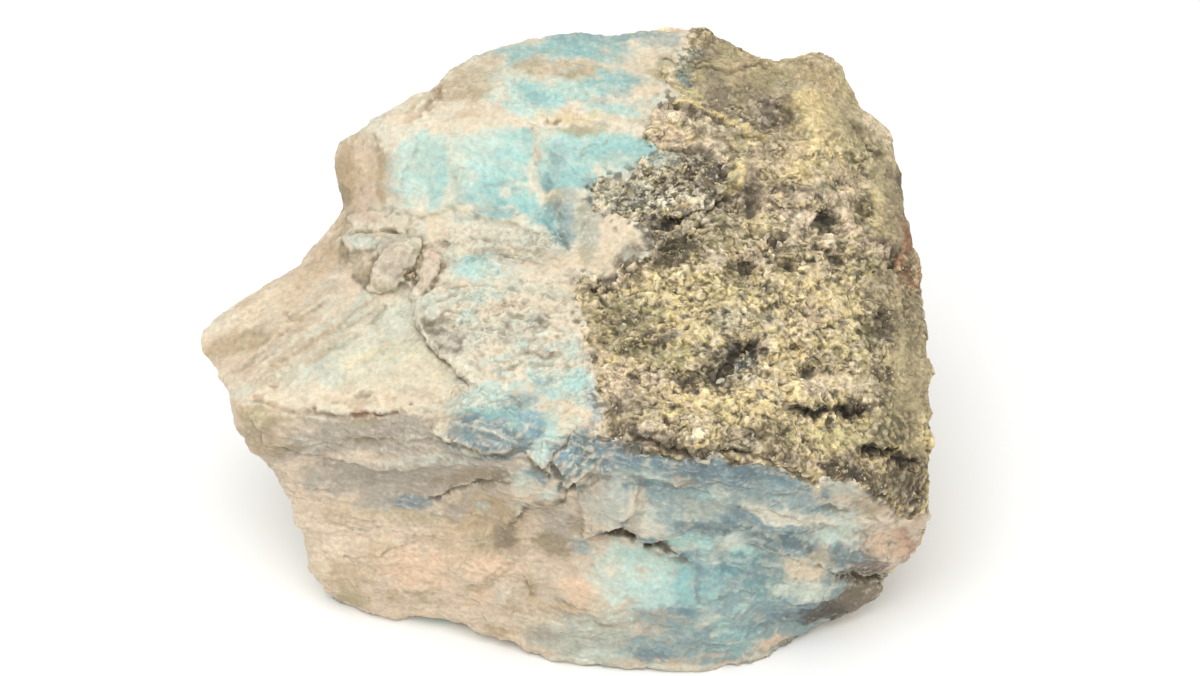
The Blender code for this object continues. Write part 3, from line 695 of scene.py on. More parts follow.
# %% Where which grain lies
CALM = [  # u, v, half width, half height
    (-130, 251, 164, 66), (116, -318, 82, 49), (-267, -23, 110, 47), (-281, 230, 41, 68), (-418, 38, 96, 68),
]
CHIPPED = [
    (-75, 25, 130, 85), (-75, 142, 123, 27), (27, -71, 41, 68), (-130, -71, 55, 19),
]
GRAIN = [
    ("ash", 4, 0.1, 340, 90, 10, -2, -322, 4, 137, 68),
    ("olive", 4, -0.4, 340, 90, 22, None, -322, 4, 137, 68),
    ("sand", 5, 0, 330, 60, 6, -3, -377, 38, 123, 68), ("mist", 6, 0.2, 360, 70, 8, -2, -267, 25, 82, 68),
    ("ivory", 5, 0, 340, 20, 4, -8, -308, -16, 164, 68),
    ("khaki", 6, -0.7, 30, 80, 16, None, -267, -119, 192, 36),
    ("stone", 6, 0, 20, 60, 10, -2, -281, -126, 178, 41),
    ("ivory", 6, 0.5, -30, 30, 5, -7, -226, -136, 178, 33),
    ("tan", 4.5, -0.5, 280, 80, 22, None, -226, -290, 192, 82),
    ("peach", 5, 0, 200, 40, 12, -2, -185, -297, 164, 68),
    ("stone", 4.5, 0, 100, 30, 8, -4, -185, -222, 192, 68),
    ("ivory", 3.5, 0.2, 150, 16, 4, -9, -226, -277, 205, 96),
    ("umber", 4.5, -0.5, 150, 50, 24, None, -75, 25, 123, 77),
    ("ash", 2.5, 0, 150, 25, 7, -5, -75, 25, 123, 90), ("ivory", 8, 0.4, 120, 18, 6, -3, -75, 25, 123, 96),
    ("sky", 6, 0, 100, 26, 8, -3, -48, -30, 82, 68), ("aqua", 3.5, 0, -200, 60, 15, -1, -89, 244, 192, 68),
    ("ivory", 3, 0, -250, 40, 8, -8, -89, 237, 178, 63), ("ash", 5, 0, 0, 30, 6, -8, -89, 137, 96, 22),
    ("umber", 4, -0.4, 0, 40, 20, None, -89, 134, 96, 19),
    ("steel", 6, 0, -180, 70, 14, -3, -96, -115, 68, 36),
    ("deep", 7, -0.6, -150, 90, 24, None, -103, -115, 71, 36),
    ("ivory", 4, 0.5, -180, 40, 8, -11, -103, -112, 82, 44),
    ("ivory", 4, 0.6, 400, 90, 8, -11, 23, -153, 36, 33),
    ("deep", 8, -0.8, 400, 90, 16, None, 18, -153, 38, 33),
    ("deep", 6, -0.6, -50, 60, 15, None, 171, -164, 137, 30),
    ("ivory", 5, 0.3, -50, 15, 5, -9, 116, -164, 96, 27),
    ("steel", 4.5, 0, -120, 70, 10, -1, 253, -229, 164, 68),
    ("mist", 4, 0.3, -120, 40, 8, -5, 253, -236, 178, 82),
    ("ivory", 6, 0.2, -100, 20, 8, -10, 267, -249, 178, 82),
    ("deep", 5, -0.5, -140, 80, 26, None, 281, -236, 178, 68),
    ("teal", 4, 0, 0, 30, 12, -2, 226, -345, 123, 68), ("mist", 6, 0, 0, 20, 8, -6, 212, -345, 123, 68),
    ("peach", 5, 0, 100, 20, 6, -10, 212, -386, 123, 41), ("stone", 5, 0, 0, 30, 8, -3, 48, -386, 96, 41),
    ("khaki", 5, -0.5, 800, 50, 15, None, -281, 244, 27, 55),
    ("olive", 3.5, 0, 150, 30, 8, -6, -130, 360, 68, 41), ("sand", 5, 0, 80, 30, 9, -4, 7, 388, 96, 27),
    ("lagoon", 6, 0, 100, 40, 10, 0, 48, 405, 82, 25), ("aqua", 6, 0, 50, 40, 9, -1, 34, 347, 96, 22),
    ("plum", 5, 0, -200, 30, 8, -3, 432, -229, 55, 41),
    ("umber", 6, -0.6, -150, 50, 15, None, 418, -277, 68, 41),
    ("khaki", 5, -0.4, 300, 30, 13, None, -226, 118, 68, 55),
    ("peach", 5, 0, 100, 30, 8, -5, -89, 319, 151, 19),
]


# %% Needles
def needles(u, v, angle, length, width, seed):
    """Noise drawn out along an angle in the sight frame, in degrees."""
    turn = math.radians(angle)
    along_it = u * math.cos(turn) + v * math.sin(turn)
    across_it = v * math.cos(turn) - u * math.sin(turn)
    rows = np.stack([along_it / length, across_it / width, np.full(len(u), 3.1 * seed)], axis=1)
    return np.array([noise.noise(row) for row in rows.tolist()])


def zones(u, v, table):
    """1 inside any oval of a table of zones."""
    return np.clip(sum(spread(u, v, *row) for row in whole(table)), 0.0, 1.0)


def grained(shell, table):
    """Lays the rows of a grain table. Keeps the cover of each, and says how much height they add."""
    points, normals = read(shell.mesh)
    strength = smooth_step(0.35 + 2.5 * (normals @ TO_EYE)) * (1.0 - 0.75 * shell.worn)
    u = shaken(shell.u, points, 15, (0.5, 1.1), (0.3, 0.5))
    v = shaken(shell.v, points, 17, (0.5, 1.1), (0.3, 0.5))
    height, shell.grain = np.zeros(len(u)), []
    for seed, (name, thickness, rise, angle, length, width, share, *zone) in enumerate(whole(table)):
        cover = strength * spread(u, v, *zone)
        near = np.flatnonzero(cover > 0.02)
        grain = needles(u[near], v[near], angle, length, width, 20 + seed)
        if share is None:
            broken = smooth_step(2.5 * (shell.fray[near] - 0.55))
            cover[near] *= smooth_step(1.4 - np.abs(grain) / 0.11) * broken
        else:
            cover[near] *= smooth_step(5.0 * grain + share)
        height += rise * cover
        shell.grain.append((name, thickness * cover))
    return height


def settle(shell, relief):
    """Adds the fine relief, and sinks what another shell covers."""
    sunk = SINK * smooth_step((-shell.inside - 0.2) / 0.9)
    deep_in = smooth_step((-shell.inside - SINK) / 2.0)
    shell.move((1.0 - deep_in) * ((1.0 - shell.tip) * relief - sunk), 2.4 * deep_in)


# %% Lift the needles and the scales
WING = (-34.9, 0.4, 16.4, 10.3)  # u, v, half width, half height
WALL_TOP = -9.0
for shell in pectolites:
    points, normals = read(shell.mesh)
    u, v = shell.u, shell.v
    wing = spread(u, v, *WING)
    wall = smooth_step((WALL_TOP - v) / 4.0)
    plain = (1.0 - wing) * (1.0 - wall)
    shell.calm, shell.chipped = zones(u, v, CALM), zones(u, v, CHIPPED)
    relief = wing * (0.10 * needles(u, v, 34.0, 7.0, 0.9, 1) + 0.06 * needles(u, v, 30.0, 4.0, 0.4, 2))
    relief += wing * 0.25 * steps(needles(u, v, 35.0, 12.0, 2.2, 5), 0.4)
    relief += wall * (0.16 * needles(u, v, -6.0, 5.0, 1.0, 3) + 0.10 * needles(u, v, -12.0, 2.6, 0.4, 4))
    relief += wall * 0.5 * steps(needles(u, v, -7.0, 9.0, 2.0, 6), 0.4)
    relief += plain * (0.12 * rough(points, 1.7, 21) + 0.08 * rough(points, 0.8, 22))
    relief += 0.2 * steps(rough(points, 2.6, 23) + 0.5 * rough(points, 0.9, 24), 0.35)
    wandering = wandered(points, 0.6, 1.5, 81)
    flakes = broken_faces(wandering * np.array((0.6, 1.0, 1.4)), 3.6, 84, 0.06, 0.10)
    relief += (0.45 + 0.3 * shell.chipped) * flakes
    swells = shaken(rough(wandering, 4.5, 84, (2.2, 1.0, 1.0)), points, 85, (0.4, 1.4), (0.2, 0.6))
    broad, broad_foot, broad_rim = flaked(swells, 0.34)
    ripples = shaken(rough(wandering, 1.9, 87, (2.2, 1.0, 1.0)), points, 88, (0.5, 0.8))
    small, small_foot, small_rim = flaked(ripples, 0.34)
    patchy = smooth_step(0.4 + 2.5 * rough(points, 2.5, 80))
    scaly = 0.12 + 0.5 * shell.chipped
    relief += scaly * (0.8 * broad + 0.35 * patchy * small)
    relief *= 1.0 - 0.75 * shell.calm
    scaly *= (1.0 - shell.calm) * patchy
    # Painted shade at the foot of each terrace riser, and a painted highlight on its rim, where the step
    # catches the light.
    shell.shade = np.maximum(shell.shade, 0.75 * scaly * np.maximum(broad_foot, 0.7 * small_foot))
    shell.rim = scaly * np.maximum(broad_rim, 0.8 * small_rim)
    settle(shell, relief + grained(shell, GRAIN))

# %% [markdown]
# ## Crumbs and crystals
#
# Basalt crumbles along its crystals. Crusts of it lie in terraces, which give ledges, overhangs and sharp
# shadows, and flat breaks at two sizes lie on them: plates and crumbs. Smooth noise alone would look like
# dough. Pits and flecks follow the same kind of grain table. On the upper right the rock is weathered
# smooth.

# %% Where the basalt is worn, and its grain
WORN = [
    (363, 347, 103, 68), (219, 381, 68, 49), (452, 216, 38, 123), (470, -44, 22, 123), (255, 208, 19, 30),
]
HOST_GRAIN = [
    ("olive", 6, 0, -100, 40, 18, -4, 267, 66, 260, 315),
    ("honey", 8, 0, -120, 36, 18, 3, 240, -3, 247, 164),
    ("rose", 6, 0.2, -100, 22, 11, -5, 322, 148, 151, 110),
    ("rose", 7, 0.2, -50, 18, 10, -2, 103, -78, 82, 68),
    ("khaki", 5, 0, -200, 20, 10, -4, 240, 381, 164, 68),
    ("plum", 5, 0, -100, 26, 12, -3, 226, 326, 137, 82),
    ("moss", 7, -0.2, -150, 36, 14, -7, 253, 25, 260, 260),
    ("cream", 8, 0.3, -140, 13, 7, -4, 240, 11, 260, 205),
    ("moss", 6, -0.3, -150, 26, 16, None, 253, 66, 274, 260),
    ("bark", 7, -0.5, 200, 24, 16, None, 240, 25, 260, 205),
    ("bark", 8.5, -0.8, -100, 12, 6, -12, 253, 25, 260, 247),
    ("soot", 8, -0.8, -150, 16, 8, -15, 226, 11, 260, 233),
    ("cream", 8.5, 0.4, -100, 12, 7, -9, 240, 38, 274, 247),
    ("umber", 6, -0.4, 0, 20, 10, -4, 459, 25, 55, 247),
    ("soot", 8, -0.6, 100, 18, 10, -4, 123, 205, 85, 41), ("soot", 8, -0.6, 0, 18, 10, 0, 188, 230, 41, 33),
    ("soot", 8.5, -0.6, -200, 15, 9, 1, 233, -19, 47, 30),
    ("bark", 8, -0.6, 100, 18, 9, 0, 137, 137, 49, 25), ("bark", 8, -0.6, 0, 35, 9, 2, 103, -118, 68, 16),
    ("ivory", 10, 0.8, 0, 10, 7, 1, 123, 208, 88, 44), ("ivory", 9.5, 0.8, 200, 9, 7, -7, 188, 230, 47, 36),
    ("ivory", 9.5, 0.8, -200, 9, 7, -8, 229, -19, 47, 30),
    ("ivory", 8, 0.4, 100, 10, 6, -10, 281, 315, 82, 33), ("cream", 8, 0.5, 0, 30, 7, -9, 103, -118, 82, 19),
]

# %% Lift the crusts and the crumbs
for shell in basalts:
    points, normals = read(shell.mesh)
    shell.worn = zones(shell.u, shell.v, WORN)
    wandering = wandered(points, 0.5, 1.3, 86)
    holes = rough(wandering, 1.2, 91, (1.5, 1.0, 1.0)) + 0.5 * rough(points, 0.6, 93)
    shell.pits = smooth_step(5.0 * holes - 1.0)
    swells = 1.3 * rough(wandering, 5.0, 104, (1.7, 1.0, 0.8)) + 0.7 * rough(wandering, 2.0, 105)
    crusts, foot, rim = flaked(swells + 0.25 * rough(points, 0.8, 106), 0.5)
    relief = 0.6 * crusts + broken_faces(wandering * np.array((0.7, 1.0, 1.3)), 2.6, 89, 0.06, 0.09)
    relief += broken_faces(wandering * np.array((0.8, 1.0, 1.2)), 1.0, 90, 0.02, 0.04)
    crumbs = rough(wandering, 1.3, 107, (2.0, 1.2, 0.8)) + 0.5 * rough(points, 0.5, 108)
    relief += 0.12 * steps(crumbs, 0.25)
    relief += 0.05 * rough(points, 0.5, 27) - 0.06 * shell.pits
    relief *= 1.0 - 0.6 * shell.worn
    patchy = smooth_step(0.6 + 2.5 * rough(points, 3.0, 103)) * (1.0 - 0.8 * shell.worn)
    # Painted shade at the foot of each crust's terrace, and a painted highlight on its rim.
    shell.shade = np.maximum(shell.shade, 0.8 * patchy * foot)
    shell.rim = patchy * rim
    settle(shell, relief + grained(shell, HOST_GRAIN))

# %% [markdown]
# ## Painted shade in hollows and painted highlights on crests
#
# Smoothing a copy of the finished skin and comparing it with the skin itself tells hollows from crests:
# a point under the smooth copy is in a hollow, which the stains darken as painted shade, partly dust, and a
# point over it is a crest, which they lighten as a painted highlight, partly bruising. This is cheaper than
# ray-traced occlusion and works on every side alike.

# %% Where painted shade and highlights go
def crests(mesh, rounds, height):
    """1 where the skin stands over its smoothed copy by this height, and -1 where it lies as far under."""
    points, normals = read(mesh)
    smoothed, _ = read(modified(mesh.copy(), "SMOOTH", factor=0.5, iterations=rounds))
    return np.clip(np.sum((points - smoothed) * normals, axis=1) / height, -1.5, 1.5)


for shell in shells:
    shell.fine, shell.broad = crests(shell.mesh, 5, 0.06), crests(shell.mesh, 45, 0.4)
    print(shell.name, "in hollows:", round(float((shell.broad < -0.5).mean()), 2))

# %% [markdown]
# ## Stains
#
# Copper tints pectolite blue, iron tints it cream, peach and rust, and the basalt is olive, brown and
# nearly black. The stains on the front are drawn as soft ovals and lines with ragged rims. On the sides
# that the eye cannot see, noise picks the same colours. Painting each point of the skin was chosen over
# a texture image because it needs no unwrapping, and the skin's points lie as close as the stains' rims.

# %% The stains' colours
STAIN = {
    name: np.array(linear(code))
    for name, code in {
        "ivory": "#efe6cd", "cream": "#efdcbd", "peach": "#efcfae", "shell": "#e0cbb0",
        "sand": "#d2ba99", "tan": "#c2aa86", "olive": "#b2a680", "khaki": "#9f8f72", "umber": "#7d705a",
        "bark": "#4f4638", "mist": "#d6ddcb", "ash": "#c2c3b2", "stone": "#b2a898", "sky": "#cae8dd",
        "aqua": "#b0dcd3", "lagoon": "#97c6c2", "slate": "#95a9a7", "steel": "#7a929a",
        "deep": "#667a7c", "teal": "#6c9fa2", "rust": "#b06c48", "plum": "#786a60", "lime": "#d3ca92",
        "honey": "#eed79e", "moss": "#8a845a", "rose": "#d8c0a8", "soot": "#37322b", "azure": "#8fb3bd",
    }.items()
}


def stain(colours, name, cover, lift=1.0):
    """Lays a colour over the skin's colours, as thickly as cover says. Lift mixes it lighter."""
    cover = np.clip(cover, 0.0, 1.0)[:, None]
    return colours * (1.0 - cover) + np.minimum(STAIN[name] * lift, 1.05) * cover


# %% [markdown]
# ## Stains on the top
#
# An oval is (colour, thickness, u, v, half width, half height, turn), with the turn left out where it is
# 0. A line is (colour, thickness, half width, line). They are laid in order, so a later one covers an
# earlier one. The dome's blue bands come first, then the chipped middle with its creams and blues, the
# cluster of splinters beside it, and the pale wing of the nose. Many lines follow the drawn cracks and
# ledges: a dark line in a crack or at the foot of a step is painted shade, and a pale line beside it, along
# the raised edge, is a painted highlight; the other lines are stains.

# %% Stains on the dome
TOP_OVALS = [
    ("sand", 9, -281, 237, 36, 63), ("tan", 9, -303, 230, 15, 47), ("khaki", 7, -303, 208, 8, 22),
    ("rose", 8, -273, 210, 15, 16), ("shell", 6, -274, 271, 16, 19), ("ivory", 9, -237, 290, 19, 25),
    ("peach", 5, -233, 271, 5, 12), ("stone", 7, -230, 225, 16, 27), ("cream", 5, -223, 244, 11, 27),
    ("olive", 4, -247, 233, 4, 27, -100), ("ash", 5, -237, 182, 12, 8), ("sky", 10, -193, 247, 34, 52),
    ("mist", 6, -201, 282, 16, 12), ("aqua", 10, -184, 249, 19, 41, 100),
    ("lagoon", 4, -174, 225, 12, 25, 50), ("mist", 9, -148, 258, 12, 44), ("ivory", 6, -144, 251, 4, 33),
    ("ash", 9, -140, 216, 11, 21), ("olive", 6, -147, 195, 15, 5), ("sky", 10, -92, 251, 51, 47),
    ("aqua", 8, -81, 247, 38, 33), ("mist", 5, -114, 268, 19, 14), ("aqua", 10, -86, 216, 47, 21),
    ("lagoon", 9, -108, 203, 33, 11), ("slate", 6, -108, 188, 19, 7), ("lagoon", 8, -86, 182, 33, 8),
    ("teal", 6, -100, 197, 16, 5), ("ivory", 7, -77, 214, 10, 8, -200), ("ivory", 6, -60, 227, 12, 4, -150),
    ("aqua", 9, -51, 195, 21, 16, -300), ("aqua", 9, -62, 288, 27, 11), ("lagoon", 6, -51, 296, 14, 8),
    ("slate", 6, -138, 173, 11, 5), ("cream", 8, -130, 315, 90, 12), ("peach", 6, -141, 322, 47, 8),
    ("ivory", 7, -199, 307, 55, 10, 200), ("cream", 10, 67, 145, 41, 38), ("cream", 9, 40, 115, 36, 16),
    ("shell", 5, 53, 126, 14, 11), ("aqua", 10, 23, 264, 60, 34), ("sky", 7, 7, 277, 25, 10),
    ("aqua", 10, 86, 268, 44, 25), ("lagoon", 9, 3, 233, 23, 22), ("lagoon", 7, 55, 271, 47, 12),
    ("teal", 8, 34, 223, 21, 11, -350), ("ash", 5, 78, 255, 27, 10), ("slate", 7, -11, 255, 11, 22, -100),
    ("teal", 9, -25, 229, 10, 12, -100), ("lagoon", 10, -27, 179, 23, 22, -350),
    ("teal", 10, -12, 156, 18, 12, -200), ("teal", 7, -4, 186, 11, 22, -200),
    ("slate", 9, 3, 173, 14, 32, -150), ("ash", 8, 32, 167, 15, 36), ("slate", 6, 44, 203, 12, 15),
    ("shell", 9, -40, 268, 5, 33, -30), ("olive", 9, -16, 203, 8, 21, -280),
    ("sand", 8, -7, 193, 5, 14, -280), ("rose", 7, 8, 208, 4, 10), ("ivory", 8, -47, 233, 5, 22),
    ("bark", 7, 23, 264, 3, 4), ("lagoon", 8, 116, 274, 16, 12), ("mist", 7, 73, 241, 38, 7),
    ("mist", 8, -53, 153, 33, 16), ("ash", 6, -62, 126, 60, 7), ("olive", 4, -158, 144, 22, 5),
    ("mist", 6, -130, 155, 25, 10), ("olive", 5, 27, 134, 8, 19), ("sand", 8, -141, 356, 47, 30, 120),
    ("olive", 4, -125, 367, 30, 19, 150), ("khaki", 4, -111, 392, 25, 8, 150),
    ("tan", 8, -175, 356, 11, 23, -200), ("tan", 6, -207, 323, 8, 12, -300),
    ("ivory", 6, -158, 326, 30, 8, 200), ("mist", 8, -73, 375, 25, 16), ("sky", 9, -48, 340, 47, 22),
    ("lagoon", 9, -42, 348, 23, 14, -200), ("slate", 3, -37, 342, 14, 8, -200), ("ash", 8, -48, 392, 25, 11),
    ("olive", 7, -48, 382, 25, 8), ("sand", 9, 10, 384, 41, 16), ("olive", 6, 18, 375, 27, 10),
    ("cream", 5, -12, 392, 14, 8), ("lagoon", 9, -4, 412, 79, 14, 50), ("slate", 6, 27, 421, 38, 7),
    ("lagoon", 7, 68, 403, 33, 14), ("aqua", 8, 10, 353, 36, 14), ("lagoon", 9, 67, 362, 36, 16),
    ("slate", 5, 85, 348, 16, 8), ("slate", 6, 44, 337, 12, 7), ("aqua", 7, 73, 326, 36, 8),
    ("honey", 7, 7, 315, 38, 8), ("olive", 8, 27, 299, 36, 7), ("ivory", 8, 92, 310, 30, 11),
    ("olive", 5, 97, 315, 16, 5), ("cream", 9, 127, 392, 30, 25), ("olive", 8, 133, 384, 25, 19),
    ("slate", 8, 114, 426, 49, 10, 50), ("cream", 7, 108, 342, 25, 11, 150), ("mist", 6, 123, 329, 19, 8),
    ("plum", 9, 90, 118, 14, 16), ("umber", 9, 93, 105, 14, 10), ("ash", 7, 85, 129, 7, 5),
    ("ivory", 7, -89, 159, 47, 11), ("ash", 6, 32, 164, 12, 30), ("moss", 4, 29, 186, 8, 14),
    ("umber", 6, 34, 85, 22, 7), ("teal", 7, -18, 192, 8, 19, -200), ("slate", 7, -4, 196, 12, 22, -200),
    ("plum", 8, 26, 86, 22, 11, -200), ("umber", 7, 4, 99, 10, 7), ("umber", 10, 90, 112, 19, 25),
    ("bark", 8, 96, 100, 16, 11), ("bark", 9, 119, 145, 12, 19), ("ash", 7, 86, 126, 7, 7),
    ("mist", 5, -193, 251, 22, 36), ("cream", 5, -158, 151, 41, 10),
]
# Dark lines in cracks and at step feet are painted shade, pale ones on raised edges painted highlights.
TOP_LINES = [
    ("tan", 7, 5, (-264, 296, -253, 258, -256, 219, -247, 195)),
    ("ivory", 8, 4, (-44, 271, -47, 237, -37, 208, -23, 181)),
    ("slate", 8, 3, (-130, 189, -111, 181, -89, 186, -73, 178, -56, 184)),
    ("teal", 7, 3.5, (-37, 184, -21, 164, -4, 142, 4, 137)), ("deep", 7, 5, (-7, 153, 1, 145, 7, 134)),
    ("bark", 8, 2.5, (-26, 310, -18, 312, -4, 312)), ("umber", 6, 2.5, (-171, 145, -155, 141, -141, 144)),
    ("umber", 6, 2.5, (-89, 129, -68, 123, -45, 126)), ("teal", 7, 3, (10, 247, 26, 230, 40, 216)),
    ("umber", 5, 5, (-26, 216, -14, 199, -7, 178)), ("rust", 7, 3, (-45, 304, -42, 296)),
    ("bark", 9, 3.5, (37, 95, 64, 99, 84, 92, 105, 101)), ("slate", 5, 4, (-111, 219, -89, 225, -62, 219)),
    ("khaki", 5, 4, (-168, 375, -175, 351, -193, 329)),
]

# %% Stains on the chipped middle
MIDDLE_OVALS = [
    ("cream", 8, -62, 38, 110, 82), ("ivory", 7, -89, 4, 68, 41), ("peach", 4, -62, 118, 55, 11),
    ("mist", 9, -116, 112, 55, 19, -80), ("sky", 10, -136, 112, 33, 14), ("aqua", 9, -111, 108, 36, 8, -120),
    ("lagoon", 5, -130, 121, 25, 5, -80), ("olive", 5, -108, 130, 41, 5),
    ("khaki", 7, -155, 85, 16, 7, -100), ("ash", 6, -73, 123, 30, 5), ("mist", 9, -185, 52, 14, 16, 500),
    ("mist", 8, -151, 66, 25, 8, 150), ("sky", 7, -125, 68, 14, 10), ("sky", 8, -130, 44, 12, 14),
    ("mist", 8, -122, 11, 16, 11), ("sky", 5, -81, 77, 19, 8), ("stone", 10, -166, 11, 27, 19, -350),
    ("khaki", 9, -174, 19, 19, 12, -400), ("umber", 5, -182, 30, 14, 8, -400),
    ("khaki", 8, -160, 41, 15, 5, 200), ("bark", 5, -188, 21, 5, 4), ("slate", 8, -42, 37, 19, 7, 150),
    ("umber", 6, -37, 38, 11, 4, 150), ("ash", 8, -73, 32, 16, 5), ("sand", 8, -81, 55, 16, 5),
    ("ash", 6, -89, 19, 22, 4), ("mist", 10, 7, 0, 19, 18), ("sky", 5, 1, -5, 12, 11),
    ("moss", 8, -12, 14, 7, 3), ("ash", 8, -34, -12, 22, 5), ("slate", 5, -26, -8, 11, 4),
    ("slate", 7, 29, -5, 4, 12), ("sky", 10, -42, -33, 14, 10), ("aqua", 9, -12, -55, 12, 14),
    ("sky", 10, 15, -49, 18, 18), ("lagoon", 6, -19, -60, 7, 8), ("teal", 5, -12, -33, 5, 4),
    ("lagoon", 5, 25, -66, 7, 8), ("ash", 8, -51, -71, 22, 10), ("ash", 5, -7, -79, 19, 5),
    ("cream", 7, -7, -82, 36, 10), ("aqua", 8, 27, -78, 8, 8), ("sky", 9, -103, -71, 27, 11),
    ("mist", 8, -136, -74, 19, 10), ("ash", 9, -140, -47, 14, 7, -300), ("aqua", 6, -89, -60, 16, 5),
    ("sky", 9, -23, -112, 14, 25), ("aqua", 7, -10, -96, 7, 11), ("cream", 9, 21, -104, 27, 25),
    ("mist", 7, 12, -104, 8, 14), ("slate", 7, 40, -71, 5, 22), ("ash", 7, 42, -33, 7, 22),
    ("rose", 6, 34, 4, 11, 14), ("mist", 5, -34, 79, 41, 8, -100), ("peach", 5, -95, -5, 14, 7),
    ("sky", 4, -62, 11, 19, 7), ("aqua", 6, -119, 77, 22, 11), ("azure", 5, -27, -55, 16, 14),
    ("stone", 9, -166, 10, 23, 19, -350), ("umber", 5, -171, 16, 21, 15, -400),
    ("umber", 4, -193, 27, 10, 16, -200), ("azure", 6, 37, -68, 7, 30), ("aqua", 6, -7, -44, 33, 19),
    ("sky", 7, -89, -60, 33, 11),
]
# Dark lines in cracks and at step feet are painted shade, pale ones on raised edges painted highlights.
MIDDLE_LINES = [
    ("umber", 8, 3, (-92, 104, -70, 99, -52, 90)), ("umber", 5, 2.5, (-81, 85, -59, 77)),
    ("umber", 7, 3, (-199, 66, -203, 41, -196, 22, -179, -3, -163, -16, -149, -27, -136, -41, -116, -55)),
    ("ivory", 9, 3.5, (-192, 63, -196, 41, -189, 21, -173, 0, -158, -12, -142, -25, -127, -38, -111, -49)),
    ("umber", 7, 2.5, (-171, 41, -160, 48, -147, 49)), ("bark", 6, 2.5, (-163, 33, -149, 30, -138, 38)),
    ("umber", 7, 2.5, (-89, 36, -70, 30, -51, 36, -29, 44, -18, 38)),
    ("umber", 6, 2.5, (-67, 22, -48, 27, -26, 30)), ("ivory", 8, 3, (-89, 41, -62, 44, -40, 49)),
    ("umber", 6, 2.5, (-56, -5, -34, -11, -12, -7)), ("umber", 6, 2.5, (-7, -22, 10, -27, 26, -22)),
    ("umber", 5, 2.5, (-108, 27, -95, 22, -78, 25)), ("rust", 5, 2.5, (-92, 58, -78, 53, -67, 58)),
    ("umber", 6, 3, (-70, -68, -62, -77, -48, -82)), ("slate", 7, 3, (-48, -41, -27, -47, -12, -38)),
    ("umber", 5, 2.5, (-122, -3, -111, -14, -100, -25)), ("ivory", 8, 3, (-62, -25, -27, -25, 0, -33)),
    ("khaki", 6, 3, (-136, 85, -130, 71, -141, 66)), ("umber", 5, 2.5, (-81, 66, -62, 63)),
    ("ivory", 7, 3, (-89, 82, -67, 71, -42, 66)), ("umber", 5, 2.5, (-34, 77, -12, 68)),
]

# %% Stains on the cluster of splinters
CLUSTER_OVALS = [
    ("shell", 9, -259, 173, 41, 12), ("rose", 6, -270, 175, 19, 8), ("ash", 9, -264, 144, 36, 10, 60),
    ("mist", 9, -278, 142, 19, 5), ("ivory", 8, -299, 145, 8, 8), ("stone", 7, -229, 118, 27, 33, 100),
    ("shell", 5, -232, 123, 22, 22, 100), ("sand", 5, -221, 134, 14, 11), ("khaki", 9, -295, 123, 12, 12),
    ("khaki", 8, -275, 99, 10, 19, -250), ("olive", 6, -286, 110, 11, 14),
    ("rose", 9, -182, 110, 12, 36, -120), ("peach", 4, -177, 126, 8, 14), ("olive", 6, -199, 126, 5, 19),
    ("olive", 8, -245, 85, 25, 5), ("tan", 5, -308, 159, 11, 30), ("umber", 8, -212, 99, 14, 12),
    ("soot", 9, -211, 97, 8, 8), ("rose", 8, -201, 88, 5, 4),
]
# Dark lines in cracks and at step feet are painted shade, pale ones on raised edges painted highlights.
CLUSTER_LINES = [
    ("umber", 9, 3, (-289, 160, -273, 159, -256, 162, -237, 163, -221, 160)),
    ("ivory", 8, 3, (-292, 167, -267, 166, -232, 168)),
    ("ivory", 7, 3, (-251, 145, -232, 152, -210, 155, -199, 151)),
    ("umber", 9, 3, (-197, 152, -196, 134, -201, 115, -210, 101)),
    ("umber", 9, 3, (-170, 123, -171, 110, -177, 93, -193, 64)),
    ("khaki", 9, 3, (-251, 132, -262, 118, -267, 99, -273, 79)),
    ("ivory", 6, 3, (-247, 126, -256, 112, -262, 93)), ("umber", 7, 3, (-305, 148, -300, 132, -295, 123)),
    ("umber", 7, 3, (-292, 99, -278, 90, -270, 79)), ("khaki", 7, 3, (-248, 181, -232, 184, -221, 175)),
    ("umber", 5, 2.5, (-300, 132, -281, 130, -253, 133)), ("umber", 7, 3, (-190, 140, -174, 132, -166, 123)),
]

# %% Stains on the wing
WING_OVALS = [
    ("shell", 9, -384, 52, 151, 82, 340), ("cream", 7, -432, 52, 82, 33, 320),
    ("ivory", 8, -470, 36, 27, 11, 320), ("tan", 8, -445, 8, 41, 16, 160), ("khaki", 4, -415, 16, 14, 16),
    ("sand", 8, -358, 90, 41, 16, 360), ("tan", 8, -311, 134, 15, 33, -200),
    ("khaki", 5, -305, 118, 10, 19, -200), ("sand", 7, -336, 118, 22, 19, 300),
    ("cream", 6, -377, 66, 41, 10, 340), ("ash", 7, -322, 82, 18, 12, 400), ("ash", 5, -347, 58, 11, 12),
    ("sand", 6, -363, 36, 19, 14, 200), ("rose", 6, -434, -33, 14, 22), ("tan", 6, -481, -11, 14, 11, 100),
    ("ivory", 10, -247, -16, 90, 36, 60), ("mist", 7, -226, 41, 38, 27, 360),
    ("mist", 6, -274, 49, 27, 14, 340), ("lime", 3, -240, -23, 82, 33, 60),
    ("mist", 9, -322, -33, 19, 27, 300), ("mist", 6, -363, -33, 19, 16, 300),
    ("olive", 5, -322, -3, 36, 11, 320), ("sand", 4, -253, 25, 14, 36, 420),
    ("olive", 4, -397, -41, 27, 11, 200), ("olive", 4, -377, -10, 22, 8, 340),
    ("cream", 9, -308, -71, 110, 12), ("khaki", 7, -275, -68, 11, 3), ("ash", 7, -221, -59, 19, 4),
    ("sand", 5, -193, -66, 27, 7), ("ivory", 5, -363, -66, 27, 7), ("cream", 6, -278, 79, 22, 11, 340),
    ("peach", 5, -264, 77, 12, 7), ("khaki", 3, -330, -19, 27, 22, 400),
    ("sand", 3.5, -363, 25, 96, 41, 340), ("tan", 4, -434, 11, 33, 14, 140),
    ("cream", 5, -233, -37, 68, 19, 40),
]
